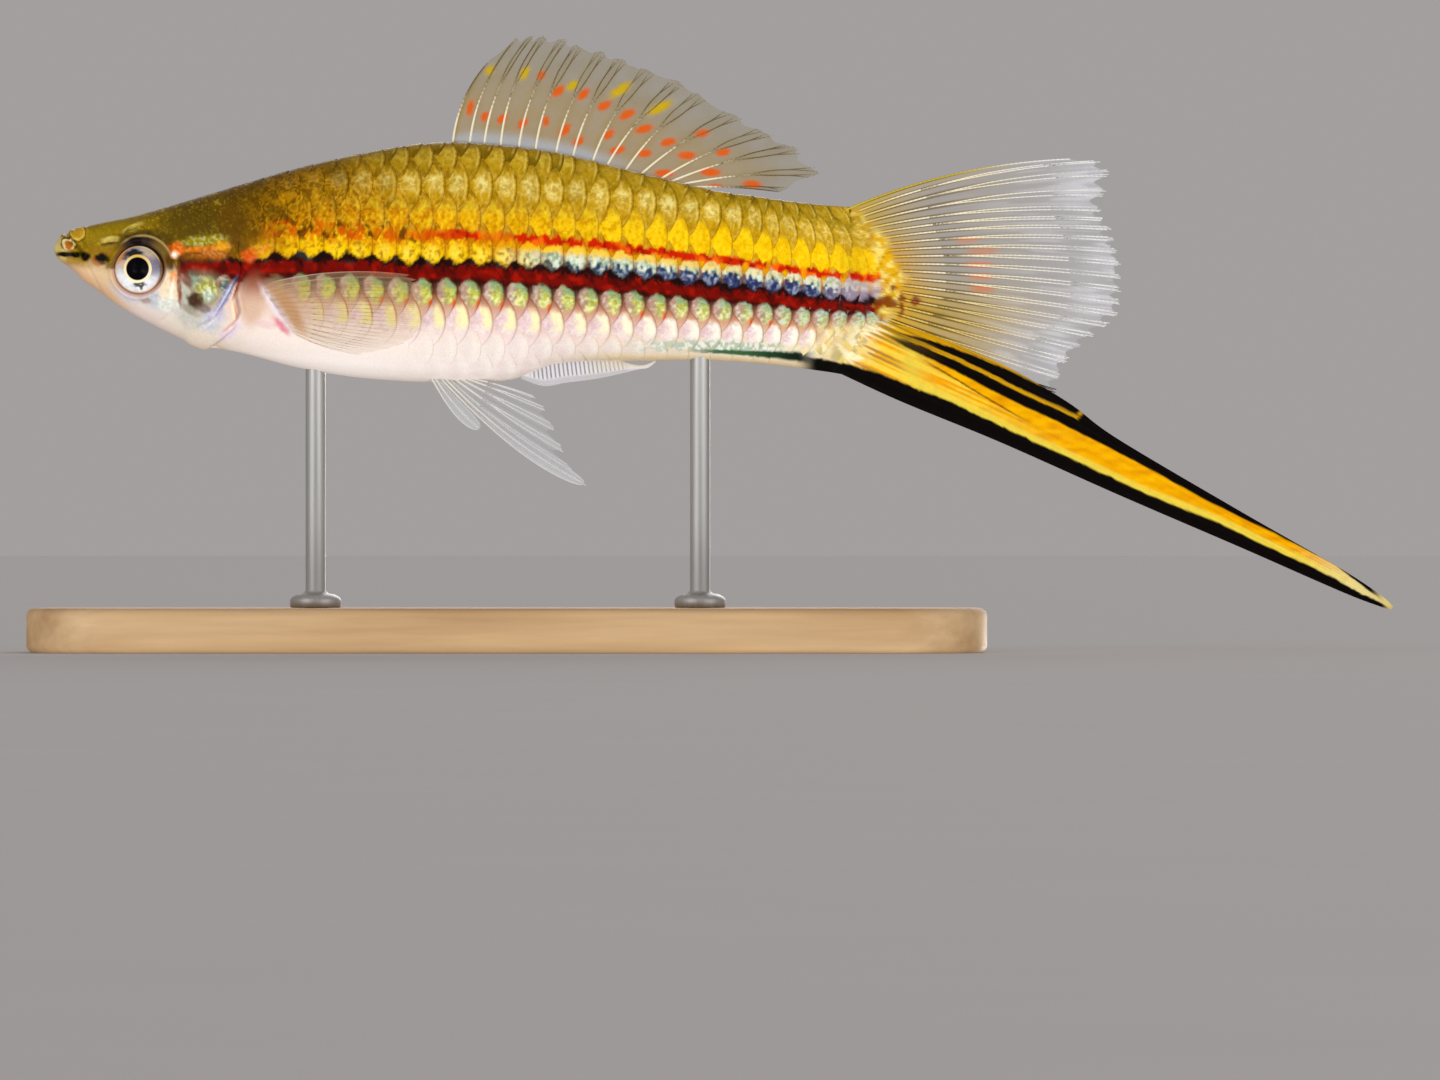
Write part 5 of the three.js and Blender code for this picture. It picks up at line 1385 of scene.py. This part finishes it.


# Eyes

# Tints of the iris, and a painted highlight low towards its back, as centre, radii, tilt, softness,
# colour and strength
EYE_TINTS_AND_HIGHLIGHT = [((1.45, 0.5), (0.65, 0.95), -20, 1.2, (122, 118, 142), 0.75),
              ((1.1, -1.3), (0.7, 0.4), 40, 1.0, (232, 234, 240), 0.8),
              ((-1.55, 0.7), (0.4, 0.9), 25, 1.2, (214, 176, 140), 0.7),
              ((0.9, 1.5), (0.8, 0.35), -30, 1.2, (226, 200, 160), 0.6)]
EYE_TAN = [((-1.5, 1.15), (0.35, 0.6), -40, 1.0, (206, 138, 74), 0.75)]
UPPER_SMUDGE = [((-0.45, 1.3), (0.9, 0.36), 8, 0.8, (16, 10, 6), 0.95)]
LOWER_SMUDGE = [((0.2, -1.45), (0.5, 0.26), 10, 0.8, (30, 26, 20), 0.92)]


def eye_colour(u, v):
    """Colour of the eye by place in mm from its middle, u forward to back and v up."""
    r = np.hypot(u, v)
    angle = np.degrees(np.arctan2(v, u))
    silver = mix(rgb(150, 146, 158), rgb(238, 240, 244), smooth(0.9, -1.4, v + 0.25 * u))
    silver = with_spots(silver, u, v, EYE_TINTS_AND_HIGHLIGHT)
    silver = shaded(silver, 0.84 + 0.32 * noise(angle / 5, r * 2.5, 2))
    ragged = 0.5 * (noise(u * 3.5, v * 3.5, 6) - 0.5)
    silver = with_spots(silver, u, v, EYE_TAN)
    silver = with_spots(silver, u + ragged, v + ragged, UPPER_SMUDGE)
    silver = with_spots(silver, u - ragged, v + ragged, LOWER_SMUDGE)
    gold = mix(rgb(232, 190, 90), rgb(255, 244, 200), smooth(-60, 60, np.abs(angle - 90) - 60))
    colour = mix(silver, gold, smooth(1.32, 1.22, r))
    colour = mix(colour, rgb(4, 4, 8), smooth(1.07, 1.0, r))
    edge = 2.16 - 0.14 * smooth(-0.4, 1.4, v)
    outer = smooth(edge - 0.12, edge - 0.05, r) * smooth(edge + 0.06, edge, r)
    rim = mix(rgb(222, 168, 96), rgb(255, 232, 170), spot(u, v, (1.2, 1.6), (1.2, 0.8), -30, 1.0))
    colour = mix(colour, rim, outer * 0.85)
    lid = mix(rgb(138, 98, 78), rgb(52, 40, 40), smooth(0.6, 1.7, v))
    return mix(colour, lid, smooth(edge, edge + 0.06, r))


EYE_SIDES = 96


def build_eye(name, side):
    """A domed eye on the solid's own axes, with a lens that swells a little in its middle."""
    low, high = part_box(name)
    centre = (np.array(low) + np.array(high)) / 2 / MM - np.array([SNOUT_X, 0, SNOUT_TO_FLOOR])
    polar = np.radians(np.concatenate([np.linspace(0.4, 88, 90), np.linspace(92, 178, 20)]))
    around = np.arange(EYE_SIDES) * 2 * np.pi / EYE_SIDES
    pp, aa = np.meshgrid(polar, around, indexing="ij")
    radius = EYE_RADIUS * np.sin(pp)
    u, v = radius * np.cos(aa), radius * np.sin(aa)
    dome = EYE_BULGE * np.cos(pp)
    out = np.where(dome > 0, dome * 0.8 + 0.3 * smooth(1.25, 0.2, radius), dome)
    x = u * math.cos(EYE_TURN) - out * math.sin(EYE_TURN)
    y = u * math.sin(EYE_TURN) + out * math.cos(EYE_TURN)
    rings = np.stack([x, y * side, v], axis=-1) + centre
    points, triangles = closed_form(rings, rings[[0, -1]].mean(axis=1))
    colour = np.where((dome > 0)[..., None], eye_colour(u, v), rgb(40, 30, 24)).reshape(-1, 3)
    paint = np.concatenate([colour, colour[[0, -1]]])
    return mesh_object(name + "_ball", points, triangles[:, ::-side], paint)


# Materials

# Painted surfaces, as roughness, share and cells in a metre of their grain, its relief, and gloss
PAINTED = {"wet_skin": (0.38, 0.12, 7000, 0.3, 0.05), "scale_gloss": (0.34, 0.16, 8000, 0.4, 0.05),
           "eye_gloss": (0.34, 0.06, 9000, 0.02, 0.04), "fin_web": (0.4, 0.1, 1800, 0.05, 0.03),
           "fin_ray": (0.45, 0.1, 3000, 0.05, 0.04), "sword_blade": (0.38, 0.14, 1500, 0.2, 0.03)}
GRAIN_DEPTH = 0.05
PORE_DEPTH = 0.08


def new_material(name):
    material = bpy.data.materials.new(name)
    material.use_nodes = True
    tree = material.node_tree
    return material, tree, tree.nodes["Principled BSDF"]


def link_noise(tree, scale, detail, stretch=(1, 1, 1)):
    """A noise in the piece's own space, its scale multiplied along each axis by stretch."""
    coordinates = tree.nodes.new("ShaderNodeTexCoord")
    mapping = tree.nodes.new("ShaderNodeMapping")
    mapping.inputs["Scale"].default_value = stretch
    texture = tree.nodes.new("ShaderNodeTexNoise")
    texture.inputs["Scale"].default_value = scale
    texture.inputs["Detail"].default_value = detail
    tree.links.new(coordinates.outputs["Object"], mapping.inputs["Vector"])
    tree.links.new(mapping.outputs["Vector"], texture.inputs["Vector"])
    return texture.outputs["Fac"]


def span(tree, value, low, high):
    """A value from 0 to 1 as one from low to high."""
    node = tree.nodes.new("ShaderNodeMapRange")
    node.inputs["To Min"].default_value = low
    node.inputs["To Max"].default_value = high
    tree.links.new(value, node.inputs["Value"])
    return node.outputs["Result"]


def link_shaded(tree, shader, colour, value, low, high):
    """The base colour as a colour made darker and lighter by a value, between two factors."""
    shade = tree.nodes.new("ShaderNodeVectorMath")
    shade.operation = "SCALE"
    tree.links.new(colour, shade.inputs[0])
    tree.links.new(span(tree, value, low, high), shade.inputs["Scale"])
    tree.links.new(shade.outputs["Vector"], shader.inputs["Base Color"])


def link_blend(tree, shader, value, first, second):
    """The base colour as a blend of two plain ones."""
    shade = tree.nodes.new("ShaderNodeMix")
    shade.data_type = "RGBA"
    shade.inputs["A"].default_value = (*first, 1)
    shade.inputs["B"].default_value = (*second, 1)
    tree.links.new(value, shade.inputs["Factor"])
    tree.links.new(shade.outputs["Result"], shader.inputs["Base Color"])


def link_relief(tree, shader, height, strength, depth):
    """Relief of a value, with its depth in mm."""
    relief = tree.nodes.new("ShaderNodeBump")
    relief.inputs["Strength"].default_value = strength
    relief.inputs["Distance"].default_value = depth * MM
    tree.links.new(height, relief.inputs["Height"])
    tree.links.new(relief.outputs["Normal"], shader.inputs["Normal"])


def painted(name, see_through=False):
    """A wet surface: the mesh's own markings with a fine grain in colour, gloss and relief."""
    roughness, grain, grain_scale, bump, gloss = PAINTED[name]
    material, tree, shader = new_material(name)
    paint = tree.nodes.new("ShaderNodeVertexColor")
    paint.layer_name = "paint"
    fleck = link_noise(tree, grain_scale, 4.0)
    link_shaded(tree, shader, paint.outputs["Color"], fleck, 1 - grain, 1 + grain)
    tree.links.new(span(tree, fleck, roughness - 0.1, roughness + 0.12), shader.inputs["Roughness"])
    link_relief(tree, shader, fleck, bump, GRAIN_DEPTH)
    shader.inputs["Specular IOR Level"].default_value = gloss
    if see_through:
        tree.links.new(paint.outputs["Alpha"], shader.inputs["Alpha"])
    return material


def wood():
    material, tree, shader = new_material("oiled_ash")
    grain = link_noise(tree, 260, 6.0, (0.08, 1, 1))
    pores = link_noise(tree, 1500, 3.0, (0.06, 1, 1))
    ramp = tree.nodes.new("ShaderNodeValToRGB")
    stops = ramp.color_ramp.elements
    stops[0].position, stops[1].position = 0.3, 0.72
    stops[0].color = (*rgb(176, 138, 96), 1)
    stops[1].color = (*rgb(214, 182, 140), 1)
    tree.links.new(grain, ramp.inputs["Fac"])
    link_shaded(tree, shader, ramp.outputs["Color"], pores, 0.82, 1.12)
    tree.links.new(span(tree, pores, 0.5, 0.7), shader.inputs["Roughness"])
    shader.inputs["Specular IOR Level"].default_value = 0.15
    link_relief(tree, shader, pores, 0.2, PORE_DEPTH)
    return material


def steel():
    material, tree, shader = new_material("brushed_steel")
    brush = link_noise(tree, 2600, 4.0, (1, 1, 0.02))
    link_blend(tree, shader, brush, rgb(168, 168, 166), rgb(206, 206, 204))
    tree.links.new(span(tree, brush, 0.42, 0.6), shader.inputs["Roughness"])
    shader.inputs["Metallic"].default_value = 1.0
    return material


# The stand

BASE_CORNER = 9.0
BASE_SOFT_EDGE = 0.7
ROD_RADIUS = 0.9
COLLAR_RADIUS = 2.3
ROD_SIDES = 48
SHARPEST_SMOOTH_EDGE = math.radians(50)


def mesh_of_rings(name, rings, capped):
    """A mesh through rings of points in metres, one above another, closed at both ends if capped."""
    around = len(rings[0])
    top = (len(rings) - 1) * around
    faces = []
    for low in range(0, top, around):
        for k in range(around):
            after = (k + 1) % around
            faces.append((low + k, low + after, low + around + after, low + around + k))
    if capped:
        faces.append(tuple(reversed(range(around))))
        faces.append(tuple(range(top, top + around)))
    mesh = bpy.data.meshes.new(name)
    mesh.from_pydata([point for ring in rings for point in ring], [], faces)
    mesh.polygons.foreach_set("use_smooth", [len(face) == 4 for face in faces])
    return mesh


def build_base():
    """The base with rounded corners and a soft edge, as stacked rings of one outline."""
    half_x = (BASE_HIGH.x - BASE_LOW.x) / 2 / MM
    half_y = (BASE_HIGH.y - BASE_LOW.y) / 2 / MM
    top = BASE_HIGH.z / MM
    profile = [(BASE_SOFT_EDGE * (1 - math.sin(a)), BASE_SOFT_EDGE * (1 - math.cos(a)))
               for a in np.radians(range(0, 91, 15))]
    profile += [(inset, top - height) for inset, height in reversed(profile)]
    rings = []
    for inset, height in profile:
        ring = []
        reach = BASE_CORNER - inset
        for sx, sy, start in ((1, 1, 0), (-1, 1, 90), (-1, -1, 180), (1, -1, 270)):
            for a in np.radians(np.linspace(start, start + 90, 19)):
                ring.append(((sx * (half_x - BASE_CORNER) + reach * math.cos(a)) * MM,
                             (sy * (half_y - BASE_CORNER) + reach * math.sin(a)) * MM, height * MM))
        rings.append(ring)
    return add_object("base_board", mesh_of_rings("base_board", rings, True))


def build_rod(name, node):
    """A rod and its turned collar, as one lathed form on the solid's own axis."""
    low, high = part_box(node)
    x = (low.x + high.x) / 2
    deck, rod, collar = BASE_HIGH.z / MM, ROD_RADIUS, COLLAR_RADIUS
    profile = [(0, low.z / MM), (rod, low.z / MM), (rod, deck + 0.02), (collar - 0.1, deck + 0.02),
               (collar, deck + 0.12), (collar, deck + 0.7), (collar - 0.15, deck + 0.95),
               (collar - 0.6, deck + 1.2), (rod + 0.25, deck + 1.3), (rod, deck + 1.55),
               (rod, high.z / MM), (0, high.z / MM)]
    turns = [2 * math.pi * k / ROD_SIDES for k in range(ROD_SIDES)]
    rings = [[(x + r * MM * math.cos(a), r * MM * math.sin(a), z * MM) for a in turns]
             for r, z in profile]
    mesh = mesh_of_rings(name, rings, False)
    work = bmesh.new()
    work.from_mesh(mesh)
    bmesh.ops.remove_doubles(work, verts=work.verts, dist=1e-7)
    work.to_mesh(mesh)
    work.free()
    mesh.set_sharp_from_angle(angle=SHARPEST_SMOOTH_EDGE)
    return add_object(name, mesh)


# The pieces, put together

SIDES = (("left", -1), ("right", 1))


def dress_body():
    dress(build_skin(), painted("wet_skin"), "skin", "head", "lower_jaw", "torso", "tail_stem",
          "gill_cover_left", "gill_cover_right")
    scale_look = painted("scale_gloss")
    for label, side in SIDES:
        for area, rows in SCALE_ROWS.items():
            dress(build_scales(f"scales_{area}_{label}", rows, side), scale_look, "skin")
    eye_look = painted("eye_gloss")
    for label, side in SIDES:
        dress(build_eye(f"eye_{label}", side), eye_look, "eye", f"eye_{label}")


def add_fin(node, web, web_look, rays=None, ray_look=None, slot="fin"):
    dress(mesh_object(node + "_web", *web), web_look, slot, node)
    if rays:
        dress(mesh_object(node + "_rays", *rays), ray_look, slot)


# How the paired fins sit: the point they turn about, then degrees about the upright and the long axis
PECTORAL_SEAT = ((20.2, flank_width(20.2, -5.4) + 0.1, -5.4), 12, -12)
PELVIC_SEAT = ((36.5, 1.15, -11.3), 3, 9)


def dress_fins():
    web_look = painted("fin_web", see_through=True)
    ray_look = painted("fin_ray")
    add_fin("dorsal_fin", build_web(dorsal_place, DORSAL_RAY_COUNT, dorsal_web_paint), web_look,
            build_rays(dorsal_place, DORSAL_RAY_COUNT, dorsal_ray_paint, 0.14, 0.055,
                       splits=(0.45, 0.78), spread=(0.15, 0.08)), ray_look)
    web = build_web(caudal_place, CAUDAL_RAY_COUNT, caudal_web_paint, notch=0.025, frayed=0.032)
    rays = build_rays(caudal_place, CAUDAL_RAY_COUNT, caudal_ray_paint, 0.12, 0.06,
                      splits=(0.33, 0.8), spread=(0.13, 0.06), simple=1, start=0.03)
    add_fin("caudal_fin", web, web_look, rays, ray_look)
    add_fin("sword", build_sword(), painted("sword_blade"), slot="sword")
    add_fin("gonopodium", build_gonopodium(), web_look)
    pale = clear_web_paint(rgb(214, 180, 134), 0.09, PECTORAL_RAY_COUNT, 0.03)
    white = clear_web_paint(rgb(200, 200, 206), 0.04, PELVIC_RAY_COUNT, 0.12)
    lobe_white = clear_web_paint(rgb(206, 208, 212), 0.14, 3, 0.12)
    white_ray = plain_ray_paint(rgb(214, 210, 200), rgb(206, 206, 208), 0.08)
    for label, side in SIDES:
        seat = (side, *PECTORAL_SEAT)
        web = build_web(pectoral_place, PECTORAL_RAY_COUNT, pale, thick=0.06, wave=0.05)
        rays = build_rays(pectoral_place, PECTORAL_RAY_COUNT, fading_ray_paint, 0.075, 0.02,
                          splits=(0.25, 0.6), spread=(0.25, 0.12), wave=0.05)
        add_fin(f"pectoral_fin_{label}", turned(web, *seat), web_look, turned(rays, *seat), web_look)
        seat = (side, *PELVIC_SEAT)
        webs = [build_web(pelvic_place, PELVIC_RAY_COUNT, white, thick=0.05, wave=0, notch=0.09,
                          frayed=0)]
        rays = [build_rays(pelvic_place, PELVIC_RAY_COUNT, white_ray, 0.13, 0.06, splits=(0.3, NEVER),
                           spread=(0.15, 0), wave=0, simple=0)]
        for leaf, outward in ((PELVIC_LOBE, 0.35), (PELVIC_BLADE, 0.2)):
            leaf_web = build_web(leaf, 3, lobe_white, thick=0.06, wave=0, notch=0, frayed=0)
            leaf_rays = build_rays(leaf, 3, white_ray, 0.12, 0.05, splits=(NEVER, NEVER), wave=0,
                                   first=1)
            for lots, (points, faces, paint) in ((webs, leaf_web), (rays, leaf_rays)):
                lots.append((points + [0, outward, 0], faces, paint))
        add_fin(f"pelvic_fin_{label}", turned(join(webs), *seat), web_look,
                turned(join(rays), *seat), ray_look)


def dress_stand():
    dress(build_base(), wood(), "stand_base", "stand_base")
    metal = steel()
    for label in ("front", "rear"):
        node = f"stand_rod_{label}"
        dress(build_rod(f"rod_{label}", node), metal, "stand_rod", node)


# Floor, light and camera

FLOOR_TONE = rgb(184, 181, 180)
BACKDROP_TONE = rgb(163, 159, 158)
FLOOR_REACH = 9.0
PHOTO_WIDTH, PHOTO_HEIGHT = 1440, 1080
MM_PER_PIXEL = 0.09
SNOUT_PIXEL = (54.5, 250)
CAMERA_DISTANCE = 1.5
# Suns, as the way they stand, their strength, and their width in degrees
SUNS = {"key": ((-0.7, -0.75, 0.5), 0.5, 35), "fill": ((0.75, -0.7, 0.35), 0.42, 35),
        "low_left": ((-0.6, -0.8, -0.3), 1.28, 14), "low_right": ((0.6, -0.8, -0.3), 1.18, 14),
        "back": ((0.2, 0.9, 0.35), 1.0, 35), "back_low": ((0.45, 1, -0.12), 1.3, 14)}


def build_stage():
    """A wide pale floor, which runs on to the horizon and lets the low lights through."""
    mesh = bpy.data.meshes.new("floor")
    corners = [(x * FLOOR_REACH, y * FLOOR_REACH, 0) for x, y in ((-1, -1), (1, -1), (1, 1), (-1, 1))]
    mesh.from_pydata(corners, [], [(0, 1, 2, 3)])
    floor = add_object("floor", mesh)
    material, tree, shader = new_material("paper_floor")
    link_blend(tree, shader, link_noise(tree, 40, 2.0), FLOOR_TONE, FLOOR_TONE * 1.04)
    shader.inputs["Roughness"].default_value = 0.9
    shader.inputs["Specular IOR Level"].default_value = 0.1
    mesh.materials.append(material)
    floor.visible_shadow = False


def add_sun(name, way, strength, spread):
    """A wide soft light from one side, the same over the whole floor."""
    light = bpy.data.lights.new(name, "SUN")
    light.energy = strength
    light.angle = math.radians(spread)
    add_object(name, light).rotation_euler = Vector(way).to_track_quat("Z", "Y").to_euler()


def build_camera():
    """A long lens level with the middle of the frame, square to the fish's left side."""
    camera = bpy.data.cameras.new("camera")
    eye = add_object("camera", camera)
    x = (PHOTO_WIDTH / 2 - SNOUT_PIXEL[0]) * MM_PER_PIXEL + SNOUT_X
    z = SNOUT_TO_FLOOR - (PHOTO_HEIGHT / 2 - SNOUT_PIXEL[1]) * MM_PER_PIXEL
    eye.location = (x * MM, -CAMERA_DISTANCE, z * MM)
    eye.rotation_euler = (math.pi / 2, 0, 0)
    camera.lens = camera.sensor_width * CAMERA_DISTANCE / (PHOTO_WIDTH * MM_PER_PIXEL * MM)
    camera.clip_start, camera.clip_end = 0.01, 30
    bpy.context.scene.camera = eye


def light_scene():
    for name, sun in SUNS.items():
        add_sun(name, *sun)
    world = bpy.data.worlds.new("studio")
    world.use_nodes = True
    background = world.node_tree.nodes["Background"]
    background.inputs["Color"].default_value = (*BACKDROP_TONE, 1)
    background.inputs["Strength"].default_value = 1.0
    bpy.context.scene.world = world
    bpy.context.scene.view_settings.view_transform = "Standard"


build_camera()
dress_body()
dress_fins()
dress_stand()
build_stage()
light_scene()
